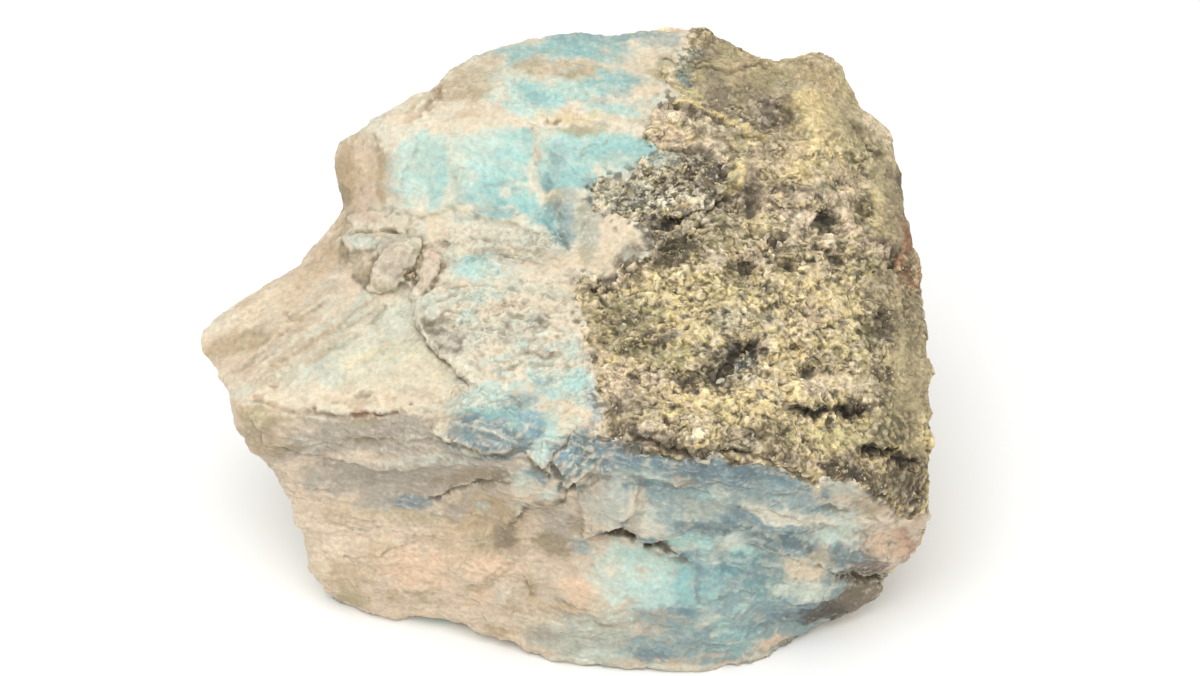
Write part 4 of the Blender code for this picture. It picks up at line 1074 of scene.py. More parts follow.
# Dark lines in cracks and at step feet are painted shade, pale ones on raised edges painted highlights.
WING_LINES = [
    ("tan", 5, 5, (-432, -41, -363, -3, -301, 41, -237, 85)),
    ("olive", 5, 4, (-336, -14, -292, 14, -237, 58)), ("mist", 7, 6, (-356, 11, -301, 49, -247, 88)),
    ("mist", 6, 7, (-363, -41, -301, 4, -219, 58)),
    ("ivory", 6, 4, (-445, -55, -415, -25, -363, 14, -308, 58)),
    ("olive", 3, 4, (-281, 3, -247, 30, -212, 60)), ("ivory", 6, 5, (-322, -25, -278, 8, -226, 41)),
    ("khaki", 4, 4, (-415, -19, -385, 5, -363, 30)), ("rust", 7, 3.5, (-426, -67, -418, -70, -407, -73)),
    ("rust", 6, 3, (-378, -88, -358, -85, -338, -86)), ("bark", 6, 2.5, (-348, -86, -341, -86)),
    ("rust", 8, 4, (-292, -90, -270, -89, -248, -92)), ("rust", 6, 2.5, (-240, -88, -221, -82)),
    ("bark", 9, 3, (-212, -78, -201, -82)), ("rust", 6, 2.5, (-404, -53, -393, -52)),
    ("umber", 5, 3, (-289, -68, -264, -68)), ("umber", 6, 2.5, (-248, 53, -242, 56)),
    ("umber", 5, 2.5, (-275, 36, -268, 38)), ("ivory", 8, 4, (-440, -74, -415, -78, -377, -90, -322, -96)),
    ("tan", 6, 4, (-322, -77, -281, -77, -226, -70)),
]

# %% [markdown]
# ## Stains on the wall
#
# The wall is peach and cream on the left, with a turquoise pool low in the middle and a slaty, streaked
# right end. The brow over it has blue-grey scales.

# %% Stains on the wall
WALL_OVALS = [
    ("shell", 9, -253, -263, 178, 123), ("stone", 9, -226, -137, 233, 47), ("sand", 8, -116, -263, 68, 55),
    ("slate", 10, 212, -208, 164, 68, -80), ("slate", 10, 253, -345, 151, 82, 100),
    ("ash", 10, 34, -400, 75, 41), ("tan", 8, -415, -112, 36, 49, -300), ("olive", 7, -421, -96, 14, 27),
    ("khaki", 8, -377, -134, 22, 10), ("shell", 8, -366, -104, 25, 7), ("khaki", 6, -345, -88, 11, 5),
    ("khaki", 7, -278, -127, 36, 7), ("olive", 6, -278, -99, 30, 7), ("stone", 9, -215, -104, 30, 14),
    ("shell", 9, -247, -151, 75, 8), ("mist", 7, -185, -153, 58, 5), ("shell", 9, -363, -167, 36, 15, -100),
    ("stone", 9, -199, -184, 137, 21), ("ash", 7, -338, -178, 10, 7), ("khaki", 8, -119, -178, 58, 11, 60),
    ("umber", 7, -82, -177, 12, 10), ("steel", 9, -215, -207, 21, 11), ("slate", 6, -247, -215, 38, 8),
    ("steel", 8, -179, -225, 7, 4), ("olive", 6, -212, -230, 58, 11), ("sand", 7, -295, -225, 52, 19),
    ("shell", 8, -253, -256, 68, 22), ("cream", 9, -319, -290, 21, 27), ("peach", 10, -205, -301, 44, 27),
    ("sand", 8, -253, -274, 19, 14, 250), ("peach", 6, -182, -259, 11, 7),
    ("sand", 8, -295, -318, 30, 36, 200), ("olive", 7, -285, -342, 23, 11), ("tan", 7, -234, -342, 14, 10),
    ("olive", 7, -196, -340, 22, 5), ("shell", 8, -210, -355, 36, 8), ("tan", 9, -110, -225, 47, 27),
    ("ash", 8, -116, -222, 12, 7), ("ash", 8, -62, -216, 14, 5, 200), ("cream", 6, -105, -200, 8, 5),
    ("stone", 8, -149, -225, 19, 10, 200), ("khaki", 9, -81, -258, 18, 22), ("umber", 5, -78, -255, 11, 11),
    ("khaki", 9, -18, -268, 27, 15, 100), ("stone", 8, -4, -238, 25, 33), ("khaki", 6, 14, -241, 8, 12),
    ("olive", 6, -116, -263, 11, 14), ("peach", 9, -105, -299, 25, 12, 150), ("peach", 9, -63, -295, 12, 10),
    ("shell", 8, -34, -293, 38, 16), ("tan", 5, -48, -332, 16, 36), ("tan", 7, -75, -352, 11, 10),
    ("shell", 8, -141, -353, 47, 19), ("peach", 7, -114, -345, 19, 10, 150), ("tan", 8, -89, -389, 22, 8),
    ("cream", 7, -64, -397, 11, 8), ("sand", 9, 10, -358, 52, 11), ("stone", 8, -7, -345, 12, 7),
    ("mist", 8, 30, -381, 11, 8), ("khaki", 6, 58, -377, 12, 5), ("mist", 8, 41, -422, 33, 10),
    ("peach", 9, 21, -332, 26, 19), ("cream", 8, 42, -322, 14, 12), ("mist", 10, 67, -311, 38, 47),
    ("aqua", 6, 130, -293, 52, 18, -120), ("sky", 8, 123, -332, 49, 25), ("lagoon", 6, 166, -332, 16, 30),
    ("ivory", 8, 63, -307, 8, 7), ("slate", 8, 21, -274, 16, 12), ("ash", 9, 64, -216, 30, 25),
    ("stone", 6, 48, -189, 25, 11, 200), ("slate", 6, 84, -238, 14, 11), ("mist", 9, 114, -222, 22, 12, 100),
    ("ivory", 9, 119, -244, 18, 11, 100), ("cream", 8, 103, -212, 14, 19, 300),
    ("shell", 7, 92, -236, 7, 14), ("deep", 9, 59, -249, 19, 5), ("steel", 9, 111, -264, 22, 7, -200),
    ("slate", 9, 164, -290, 36, 7, -220), ("aqua", 9, 171, -267, 36, 11), ("mist", 9, 229, -268, 23, 12),
    ("aqua", 8, 247, -282, 22, 7), ("slate", 8, 171, -215, 49, 27), ("mist", 9, 171, -232, 12, 8),
    ("ash", 6, 185, -219, 41, 14), ("aqua", 8, 193, -203, 15, 8), ("mist", 8, 215, -193, 18, 10, 300),
    ("steel", 9, 189, -247, 21, 8), ("steel", 9, 223, -240, 12, 10), ("ash", 8, 256, -212, 22, 8, 100),
    ("steel", 9, 295, -264, 30, 10), ("steel", 7, 267, -236, 55, 11, -50),
    ("mist", 9, 329, -229, 49, 10, -140), ("ivory", 8, 330, -233, 12, 5, -140),
    ("mist", 9, 374, -252, 27, 18), ("sky", 6, 360, -260, 8, 11), ("shell", 8, 360, -195, 25, 14),
    ("ash", 9, 379, -184, 19, 10), ("deep", 9, 359, -200, 7, 7), ("steel", 9, 371, -223, 8, 5),
    ("shell", 9, 438, -252, 30, 19, 200), ("cream", 9, 466, -229, 14, 11), ("peach", 9, 432, -270, 15, 8),
    ("khaki", 6, 404, -219, 33, 8), ("steel", 8, 385, -274, 25, 10), ("umber", 7, 407, -285, 33, 10),
    ("peach", 9, 327, -301, 25, 16, -200), ("mist", 10, 330, -329, 37, 12), ("slate", 8, 381, -334, 14, 16),
    ("tan", 6, 352, -281, 19, 7, -150), ("bark", 9, 410, -310, 41, 11, -60),
    ("umber", 9, 407, -342, 36, 19, 250), ("bark", 10, 352, -362, 33, 11, 160),
    ("steel", 8, 329, -353, 16, 8), ("steel", 7, 237, -301, 60, 10, 50), ("aqua", 9, 200, -330, 15, 8),
    ("aqua", 8, 240, -362, 8, 10), ("sky", 7, 241, -333, 5, 5), ("mist", 8, 193, -374, 19, 7, 100),
    ("steel", 9, 164, -363, 12, 7), ("stone", 7, 136, -368, 14, 7), ("slate", 7, 240, -386, 33, 8),
    ("steel", 8, 288, -374, 19, 7, 100), ("peach", 9, 281, -405, 33, 8, 160),
    ("stone", 6, 116, -392, 11, 12), ("steel", 9, 133, -416, 16, 8), ("slate", 8, 171, -400, 47, 25, 100),
    ("lagoon", 6, 116, -407, 16, 14), ("tan", 7, 432, -208, 41, 11, -100),
    ("rust", 5, 467, -263, 12, 25, 250), ("peach", 5, 456, -270, 11, 16, 250), ("rust", 4, 484, -222, 7, 22),
    ("shell", 8, 123, -400, 8, 5), ("deep", 7, 192, -245, 27, 7, -80), ("deep", 8, 301, -264, 38, 8),
    ("deep", 7, 247, -251, 30, 5, -100), ("ivory", 10, 297, -226, 44, 10, -100),
    ("ivory", 8, 338, -234, 33, 8, -100), ("mist", 9, 377, -236, 27, 14), ("deep", 6, 385, -275, 25, 7),
    ("teal", 6, 233, -297, 41, 8, 50), ("lagoon", 7, 185, -325, 36, 27), ("teal", 5, 274, -332, 30, 22),
    ("cream", 9, 329, -304, 30, 19, -100), ("mist", 8, 311, -332, 27, 14), ("deep", 6, 185, -407, 41, 8, 80),
    ("steel", 6, -215, -208, 30, 10), ("stone", 6, -295, -178, 82, 14), ("khaki", 5, -27, -215, 36, 14, 100),
    ("stone", 7, -192, -204, 82, 10, 40), ("khaki", 8, -18, -274, 25, 12),
    ("plum", 8, 412, -186, 19, 16, -200), ("umber", 6, 404, -290, 36, 11, -60),
    ("stone", 7, -27, -389, 25, 11), ("steel", 9, -215, -207, 23, 11), ("stone", 6, -253, -208, 41, 8),
    ("ivory", 8, 330, -232, 36, 8, -120), ("steel", 7, 185, -181, 82, 8, -40),
    ("umber", 7, 349, -167, 41, 7, -40), ("ash", 8, 384, -188, 27, 16, -100),
    ("slate", 8, 141, -411, 68, 19), ("lagoon", 6, 233, -400, 30, 19), ("steel", 7, 119, -421, 30, 7),
    ("mist", 8, 116, -438, 41, 7), ("steel", 9, 308, -362, 41, 10, 120), ("bark", 9, 355, -360, 36, 11, 140),
    ("plum", 7, 393, -340, 25, 8, 200), ("plum", 8, 415, -293, 30, 10, -60), ("steel", 7, 390, -285, 22, 7),
    ("umber", 8, 404, -329, 27, 14, 200), ("deep", 9, 297, -264, 38, 8), ("deep", 9, 190, -245, 27, 7, -80),
    ("azure", 4, 185, -297, 30, 8), ("deep", 6, 240, -251, 41, 5, -80), ("steel", 6, 171, -184, 41, 8),
    ("deep", 6, 233, -167, 60, 8, -40),
]
# Dark lines in cracks and at step feet are painted shade, pale ones on raised edges painted highlights.
WALL_LINES = [
    ("umber", 8, 4, (-192, -205, -164, -199, -137, -186, -107, -181, -70, -181)),
    ("umber", 9, 5, (-81, -245, -56, -219, -27, -211, 4, -205)),
    ("bark", 10, 3.5, (45, -252, 68, -249, 96, -260, 111, -268, 130, -271)),
    ("deep", 9, 3, (130, -271, 152, -282, 177, -295)), ("tan", 6, 3.5, (-270, -290, -219, -268, -171, -253)),
    ("tan", 6, 3.5, (-264, -329, -219, -329, -168, -337)), ("tan", 6, 4, (-56, -307, -51, -329, -47, -348)),
    ("tan", 7, 5, (-151, -340, -114, -325, -86, -307, -56, -293)),
    ("steel", 6, 5, (181, -274, 185, -311, 182, -353)), ("mist", 6, 3.5, (48, -170, 116, -175, 185, -189)),
    ("deep", 7, 5, (75, -186, 130, -189, 185, -186)), ("mist", 5, 3, (185, -293, 240, -290, 308, -296)),
    ("steel", 5, 4, (281, -208, 336, -219, 390, -236)), ("mist", 5, 3, (240, -249, 295, -252, 349, -263)),
]

# %% Stains on the brow
BROW_OVALS = [
    ("lagoon", 10, -89, -101, 58, 30), ("slate", 9, -125, -115, 41, 16), ("steel", 9, -79, -129, 41, 12),
    ("azure", 9, -45, -104, 14, 27, 200), ("deep", 9, -116, -140, 27, 7, -80), ("umber", 7, -68, -141, 8, 5),
    ("ivory", 8, -93, -107, 10, 5), ("cream", 9, -171, -107, 15, 10), ("sand", 7, -149, -95, 22, 7),
    ("steel", 7, -130, -104, 16, 5), ("slate", 7, -68, -77, 27, 11), ("mist", 9, -133, -74, 36, 10),
    ("sky", 7, -103, -68, 27, 8), ("aqua", 6, -116, -88, 19, 5), ("sky", 9, -30, -137, 12, 25, -100),
    ("ivory", 8, -32, -156, 11, 8, -200), ("mist", 9, -53, -175, 16, 11), ("ivory", 6, -48, -189, 14, 5),
    ("mist", 9, -18, -192, 16, 8, 200), ("steel", 10, 21, -148, 36, 25, 300),
    ("azure", 9, 14, -140, 22, 14, 300), ("deep", 9, 21, -132, 30, 7), ("deep", 10, 25, -149, 33, 16, 350),
    ("deep", 7, 18, -142, 25, 7, 350), ("steel", 6, -103, -115, 38, 16), ("azure", 5, 12, -147, 19, 11, 350),
    ("deep", 9, -7, -167, 8, 16, 200), ("lagoon", 7, 34, -159, 14, 5, 350), ("bark", 9, 3, -188, 11, 5),
    ("steel", 10, 103, -153, 71, 19), ("slate", 8, 73, -174, 18, 7, 80), ("deep", 9, 123, -142, 60, 10, -80),
    ("khaki", 8, 162, -181, 18, 5), ("steel", 9, 233, -170, 77, 12, -60), ("deep", 7, 267, -162, 41, 7, -60),
    ("steel", 8, -34, -173, 16, 7), ("stone", 6, 48, -178, 16, 7, 200),
]
# Dark lines in cracks and at step feet are painted shade, pale ones on raised edges painted highlights.
BROW_LINES = [
    ("deep", 9, 3.5, (-171, -118, -151, -132, -127, -142, -89, -148, -59, -142, -45, -126)),
    ("ivory", 9, 3, (-174, -112, -152, -126, -130, -137, -108, -142)),
    ("deep", 8, 3, (-130, -115, -108, -122, -85, -132)),
    ("ivory", 6, 2, (-127, -112, -105, -118, -84, -127)), ("deep", 8, 3, (-75, -66, -66, -75, -59, -88)),
    ("ivory", 9, 4, (-52, -140, -40, -158, -26, -167, -18, -159)),
    ("bark", 8, 3, (-56, -145, -42, -163, -27, -173)),
    ("ivory", 9, 4, (1, -186, 18, -181, 34, -168, 52, -149)),
    ("deep", 9, 3.5, (-1, -192, 21, -188, 40, -173)), ("ivory", 6, 2, (-4, -167, 12, -151, 34, -134)),
    ("ivory", 6, 2, (4, -173, 26, -155, 45, -140)), ("deep", 8, 2.5, (-7, -156, 10, -142, 26, -132)),
    ("deep", 8, 3, (-18, -162, -10, -175, -4, -189)), ("ivory", 7, 2.5, (-67, -126, -53, -112, -47, -90)),
    ("ivory", 8, 3, (-68, -178, -67, -192, -48, -197)),
]

# %% [markdown]
# ## Stains on the host rock
#
# The basalt is honey and olive in the middle and rosy on the right of it, and brown to black in its holes,
# its cracks and along its rims, which is painted shade there. DIM lists those dark places once more, as
# zones: painted shade darkens them after the grain is laid, and the pale grain is held back in them.

# %% Stains on the host rock
# The bark ovals that sit on the holes are painted shade.
HOST_OVALS = [
    ("olive", 7, 466, 25, 55, 178), ("khaki", 7, 479, 66, 30, 151), ("khaki", 6, 432, -167, 82, 47),
    ("olive", 8, 226, 381, 82, 47), ("plum", 7, 207, 353, 25, 22), ("plum", 6, 193, 408, 27, 16),
    ("tan", 8, 259, 386, 33, 33), ("khaki", 6, 256, 353, 22, 19), ("plum", 4, 253, 348, 19, 14),
    ("olive", 8, 322, 373, 60, 25, -50), ("tan", 7, 352, 359, 36, 22), ("ash", 4, 322, 356, 27, 8, -100),
    ("deep", 8, 166, 400, 19, 8, 100), ("teal", 5, 160, 378, 12, 19), ("deep", 6, 166, 367, 8, 8),
    ("lime", 6, 171, 344, 19, 8), ("sand", 6, 141, 351, 16, 14), ("moss", 4, 275, 362, 16, 16),
    ("plum", 8, 281, 318, 47, 23, -80), ("bark", 5, 315, 321, 11, 19, 200), ("rose", 4, 267, 310, 16, 10),
    ("honey", 9, 338, 323, 27, 23), ("rose", 7, 322, 173, 30, 19), ("cream", 6, 315, 182, 19, 11),
    ("tan", 5, 363, 310, 14, 19), ("honey", 5, 349, 279, 22, 14), ("olive", 8, 412, 271, 30, 60, 280),
    ("olive", 6, 385, 323, 25, 41, 200), ("cream", 7, 432, 304, 27, 27, 300),
    ("shell", 7, 449, 260, 8, 14, 200), ("khaki", 8, 459, 189, 19, 82, -80), ("umber", 6, 449, 230, 11, 33),
    ("plum", 3, 190, 299, 33, 14, -100), ("honey", 7, 158, 296, 25, 12), ("rose", 7, 136, 285, 27, 10, 100),
    ("slate", 8, 136, 260, 19, 12), ("teal", 5, 125, 258, 11, 11), ("cream", 6, 201, 268, 27, 8, -140),
    ("umber", 5, 201, 312, 22, 7, -200), ("cream", 8, 171, 315, 47, 16, -120),
    ("olive", 6, 240, 315, 19, 22), ("khaki", 5, 215, 285, 16, 11), ("umber", 8, 171, 258, 36, 11, -250),
    ("plum", 7, 185, 244, 30, 16, -200), ("bark", 6, 174, 264, 25, 5, -200), ("ash", 8, 82, 208, 41, 30),
    ("slate", 5, 110, 214, 27, 22), ("umber", 7, 163, 225, 38, 19, -200), ("bark", 8, 136, 233, 19, 14),
    ("bark", 6, 111, 195, 14, 11), ("bark", 7, 188, 222, 22, 16, 300), ("bark", 8, 111, 175, 19, 8, 200),
    ("plum", 7, 119, 173, 19, 11, 200), ("olive", 5, 171, 184, 41, 8, 250),
    ("rose", 8, 171, 192, 36, 7, 220), ("lime", 9, 229, 237, 7, 21, -280), ("plum", 9, 255, 208, 18, 30, 50),
    ("umber", 6, 259, 192, 12, 14), ("plum", 7, 303, 216, 30, 12, -140), ("bark", 7, 207, 195, 19, 7, 400),
    ("moss", 8, 226, 181, 18, 8), ("umber", 7, 242, 173, 8, 11), ("honey", 4, 267, 170, 27, 14),
    ("rose", 8, 308, 195, 41, 16), ("honey", 5, 322, 258, 55, 33), ("shell", 6, 288, 260, 27, 16),
    ("moss", 8, 152, 140, 47, 22, 140), ("umber", 8, 119, 137, 16, 16), ("bark", 7, 133, 123, 30, 7),
    ("umber", 8, 147, 148, 19, 11, 200), ("bark", 6, 177, 153, 10, 10, 300), ("umber", 6, 190, 134, 16, 11),
    ("plum", 8, 92, 118, 15, 19), ("bark", 8, 92, 99, 16, 7), ("umber", 8, 29, 82, 25, 8),
    ("umber", 6, 48, 90, 14, 8), ("honey", 8, 185, 73, 82, 33), ("honey", 6, 116, 100, 33, 14),
    ("bark", 9, 245, 110, 21, 15), ("bark", 9, 301, 112, 14, 12), ("bark", 8, 292, 148, 10, 8),
    ("bark", 9, 358, 178, 12, 16, -350), ("bark", 7, 342, 138, 8, 8), ("bark", 8, 374, 126, 15, 8, -200),
    ("umber", 7, 349, 110, 16, 10), ("bark", 7, 412, 195, 12, 10), ("moss", 7, 410, 186, 16, 11, 200),
    ("moss", 6, 407, 118, 19, 16), ("bark", 8, 432, 148, 12, 7, -200), ("bark", 8, 451, 126, 8, 16, -200),
    ("rust", 8, 470, 148, 8, 58, -100), ("rust", 6, 477, 96, 8, 19), ("rose", 7, 426, 134, 27, 14),
    ("umber", 5, 190, 88, 11, 5), ("bark", 7, 171, 85, 7, 4), ("lime", 5, 267, 79, 68, 22),
    ("honey", 7, 349, 66, 55, 41), ("rose", 6, 342, 45, 33, 22), ("khaki", 6, 445, 52, 19, 41),
    ("umber", 6, 440, 44, 22, 19), ("khaki", 6, 75, 32, 47, 36), ("moss", 6, 73, 47, 30, 19),
    ("umber", 6, 84, 30, 22, 16, -300), ("bark", 6, 68, 38, 14, 7, -300), ("lime", 5, 103, 58, 33, 19),
    ("moss", 5, 103, 8, 41, 19), ("umber", 4, 103, 3, 33, 16), ("lime", 6, 158, -3, 33, 16),
    ("slate", 6, 284, 41, 14, 12), ("ash", 8, 226, 36, 22, 16), ("honey", 7, 308, -3, 36, 33),
    ("bark", 9, 248, 3, 30, 12, 280), ("umber", 9, 215, -19, 25, 14, 300), ("bark", 7, 221, -38, 25, 16),
    ("slate", 6, 240, -14, 14, 8, 200), ("plum", 7, 262, -3, 14, 14), ("umber", 7, 158, -41, 25, 12, -100),
    ("bark", 6, 163, -47, 12, 8), ("bark", 6, 319, 0, 11, 5), ("umber", 8, 338, -27, 14, 8),
    ("rose", 7, 75, -49, 36, 30), ("plum", 6, 75, -77, 25, 16), ("plum", 6, 116, -71, 33, 8),
    ("lime", 6, 130, -93, 36, 10), ("honey", 8, 240, -79, 60, 19), ("honey", 7, 185, -68, 36, 14),
    ("plum", 8, 92, -115, 49, 11, -60), ("bark", 6, 130, -129, 47, 8, -140), ("rose", 6, 103, -107, 27, 5),
    ("cream", 9, 185, -121, 19, 18, 300), ("stone", 6, 237, -132, 33, 14, 100),
    ("plum", 7, 262, -115, 19, 10, 300), ("umber", 6, 300, -118, 16, 10), ("bark", 8, 171, -145, 27, 5),
    ("bark", 6, 253, -145, 41, 4), ("shell", 8, 363, -47, 47, 19, 100), ("honey", 6, 322, -60, 33, 11, -100),
    ("bark", 9, 338, -82, 22, 5, 80), ("plum", 9, 399, -82, 22, 12, -160),
    ("bark", 7, 399, -77, 19, 7, -160), ("umber", 7, 418, -38, 19, 19), ("lime", 7, 384, -121, 47, 19),
    ("honey", 5, 322, -133, 41, 14), ("plum", 5, 322, -153, 41, 8), ("bark", 9, 434, -137, 30, 4, -40),
    ("bark", 10, 466, -153, 22, 7, -40), ("moss", 5, 445, -112, 27, 22), ("umber", 7, 385, -164, 33, 10, 80),
    ("plum", 6, 390, -170, 19, 8, 80), ("rose", 6, 349, -156, 41, 4), ("olive", 7, 466, -44, 27, 96),
    ("khaki", 5, 475, -71, 16, 82), ("umber", 5, 481, 27, 7, 22), ("lime", 4, 404, 11, 27, 41),
    ("olive", 6, 438, -188, 33, 22), ("umber", 5, 453, -178, 22, 11), ("umber", 8, 466, -188, 27, 27),
    ("plum", 8, 470, -208, 19, 14), ("bark", 7, 466, -162, 27, 8), ("plum", 9, 399, -167, 30, 12, -80),
    ("bark", 8, 374, -164, 27, 5, -80), ("umber", 8, 421, -192, 16, 22), ("bark", 8, 432, 25, 19, 25),
    ("umber", 7, 432, -51, 16, 22), ("plum", 7, 289, -142, 27, 11, -200),
    ("plum", 8, 103, -123, 55, 11, -80), ("bark", 7, 152, -140, 36, 7, -140),
    ("moss", 7, 103, 36, 41, 19, 200), ("bark", 6, 84, 41, 19, 11, -300), ("moss", 7, 116, 3, 47, 14),
    ("umber", 7, 193, -19, 14, 19, 200), ("umber", 10, 90, 112, 19, 23), ("honey", 8, 215, -79, 68, 18),
    ("cream", 7, 315, 168, 33, 19), ("lime", 6, 185, 25, 27, 14, 200), ("cream", 7, 226, 32, 25, 10, 200),
    ("cream", 7, 371, -51, 47, 14, 100), ("moss", 6, 295, -126, 27, 11, -100), ("olive", 6, 48, 38, 22, 27),
    ("umber", 7, 64, -90, 19, 19),
]
# Dark lines in cracks and at step feet are painted shade, pale ones on raised edges painted highlights.
HOST_LINES = [
    ("honey", 9, 3.5, (103, 333, 130, 337, 163, 336, 190, 329, 215, 315, 237, 301, 262, 290, 284, 289)),
    ("cream", 9, 3.5, (116, 274, 147, 278, 174, 279, 199, 273, 221, 260, 237, 253)),
    ("bark", 6, 3, (125, 334, 163, 330, 193, 321, 218, 307)), ("bark", 6, 3, (130, 271, 171, 273, 201, 263)),
    ("soot", 9, 3.5, (237, 227, 218, 205, 201, 189, 185, 173, 174, 153)),
    ("honey", 8, 3, (223, 236, 237, 244, 245, 236, 232, 219, 215, 208)),
    ("soot", 9, 3.5, (119, 162, 141, 173, 163, 181, 188, 190)),
    ("honey", 6, 3, (130, 184, 163, 195, 190, 203)),
    ("bark", 8, 3.5, (103, 148, 105, 129, 119, 115, 147, 112, 171, 121)),
    ("bark", 9, 3.5, (45, 96, 64, 99, 84, 101, 95, 96)), ("bark", 7, 3, (51, 88, 64, 79, 81, 71)),
    ("honey", 8, 3, (53, 93, 70, 85, 86, 79, 103, 82)),
    ("soot", 9, 3.5, (289, -71, 314, -73, 325, -82, 344, -86, 363, -77)),
    ("soot", 9, 4, (368, -74, 385, -79, 401, -88, 415, -85)),
    ("honey", 7, 3, (295, -66, 322, -68, 344, -77)),
    ("soot", 9, 4, (401, -138, 423, -134, 440, -140, 459, -136)),
    ("soot", 10, 6, (442, -151, 459, -155, 475, -155, 486, -152)),
    ("bark", 8, 3.5, (56, -121, 89, -118, 116, -126, 147, -134, 171, -151)),
    ("bark", 6, 3, (103, -82, 130, -86, 160, -82)), ("soot", 8, 3.5, (223, -5, 240, 5, 256, 11)),
    ("bark", 7, 3, (185, -148, 207, -140, 237, -145, 262, -142)),
    ("bark", 6, 3, (256, 285, 281, 279, 305, 288)), ("bark", 6, 3, (48, 66, 64, 52, 81, 44)),
    ("bark", 7, 3, (349, 186, 360, 173, 368, 162)),
    ("umber", 6, 4, (393, 315, 415, 288, 432, 258, 448, 236)), ("bark", 6, 3.5, (453, 241, 464, 208)),
    ("honey", 7, 3, (185, -110, 201, -118, 196, -132, 177, -137)),
    ("bark", 7, 3, (303, -126, 322, -132, 330, -145)),
]
# Holes and hollows that get painted shade: u, v, half width, half height.
DIM = [
    (103, 216, 41, 22), (171, 230, 36, 25), (119, 173, 19, 10), (86, 203, 19, 14), (137, 140, 47, 19),
    (119, 118, 25, 7), (247, 110, 19, 14), (301, 112, 15, 12), (292, 148, 10, 8), (358, 178, 11, 14),
    (374, 126, 14, 8), (342, 138, 8, 7), (412, 195, 14, 8), (432, 148, 12, 7), (452, 126, 8, 16),
    (410, 184, 11, 11), (255, 208, 16, 27), (303, 216, 30, 11), (288, 319, 41, 22), (185, 323, 27, 7),
    (185, 388, 19, 14), (78, 33, 25, 11), (103, 4, 36, 11), (130, 18, 27, 8), (92, 110, 15, 19),
    (233, -19, 33, 22), (253, 3, 25, 10), (219, -49, 22, 11), (163, -44, 14, 8), (196, -3, 19, 8),
    (432, 25, 25, 21), (440, 44, 16, 11), (338, -27, 14, 8), (322, 0, 12, 5), (284, 49, 11, 14),
    (432, -37, 16, 16), (399, -82, 25, 11), (338, -82, 19, 5), (103, -121, 58, 7), (147, -137, 33, 5),
    (262, -121, 19, 8), (240, -147, 66, 7), (297, -140, 22, 11), (399, -170, 30, 12), (366, -164, 33, 7),
    (466, -181, 30, 30), (438, -142, 44, 7), (466, -155, 25, 8), (425, -197, 16, 19), (445, -112, 25, 30),
    (137, 142, 49, 21), (116, 126, 27, 11), (349, -164, 41, 8), (64, -85, 16, 14), (212, 153, 16, 8),
    (44, 8, 14, 11), (471, 79, 10, 82), (470, -105, 19, 22), (432, -71, 16, 16),
]

# %% [markdown]
# ## Lay the stains
#
# An oval's rim is as soft as half its width, and mottling eats into it, so neighbours run into each other
# as minerals do. The wing and the wall take less light than the top, so their colours are mixed a little
# lighter than they look there, and the brow's a little darker. The room is bright enough to show its floor
# white, so every stain is then mixed darker again.

# %% Lay ovals and lines
WING_LIFT = 1.06
WALL_LIFT = 1.07
BROW_LIFT = 0.98
ROOM = 0.8  # what is left of a stain's lightness


def ovals(colours, u, v, mottle, table, where, lift=1.0):
    """Lays ovals with soft, ragged rims. `where` keeps them to one part of the skin."""
    for name, thickness, at_u, at_v, half_u, half_v, *turn in whole(table):
        angle = math.radians(sum(turn))
        along_it = ((u - at_u) * math.cos(angle) + (v - at_v) * math.sin(angle)) / half_u
        across_it = ((v - at_v) * math.cos(angle) - (u - at_u) * math.sin(angle)) / half_v
        inside = 1.0 - np.hypot(along_it, across_it)
        narrow = min(half_u, half_v)
        softness = min(max(0.9 * narrow, 0.5), 3.0)
        cover = smooth_step(0.5 + inside * narrow / softness + 0.55 * mottle)
        colours = stain(colours, name, thickness * cover * where, lift)
    return colours


def lines(colours, shell, table, where, lift=1.0):
    """Lays lines that fray, and thin out towards their ends."""
    for name, thickness, half_width, line in whole(table):
        distance, _, share = along(shell.u, shell.v, line)
        ends = smooth_step(6.0 * share) * smooth_step(6.0 * (1.0 - share))
        width = half_width * (0.4 + 0.6 * ends) * shell.fray
        cover = thickness * where * np.exp(-((distance / width) ** 2)) * (ends > 0.02)
        colours = stain(colours, name, cover * np.clip(1.3 * shell.fray, 0.3, 1.0), lift)
    return colours


# %% Prepare a shell, and keep its colours
def prepared(shell):
    """The shell's points, its u and v with ragged rims, how much of it is seen, and two mottles."""
    points, normals = read(shell.mesh)
    u = shaken(shell.u, points, 61, (0.9, 4.0), (0.5, 1.5), (0.25, 0.7))
    v = shaken(shell.v, points, 64, (0.9, 4.0), (0.5, 1.5), (0.25, 0.7))
    seen = smooth_step(0.35 + 2.5 * (normals @ TO_EYE) + 0.3 * rough(points, 3.0, 69))
    fine_mottle = rough(points, 0.8, 72) + 0.6 * rough(points, 0.45, 75)
    return points, u, v, seen, rough(points, 2.2, 71) + 0.8 * fine_mottle, fine_mottle


def keep_stain(shell, colours):
    """Keeps one colour for each point in the mesh, where the material reads it."""
    shell.colours = np.clip(colours * ROOM, 0.01, 0.88)
    rows = np.hstack([shell.colours, np.ones((len(colours), 1))])
    shell.mesh.attributes.new("stain", "FLOAT_COLOR", "POINT").data.foreach_set("color", rows.ravel())
    print(shell.name, "mean colour:", [round(float(c), 2) for c in shell.colours.mean(axis=0)])
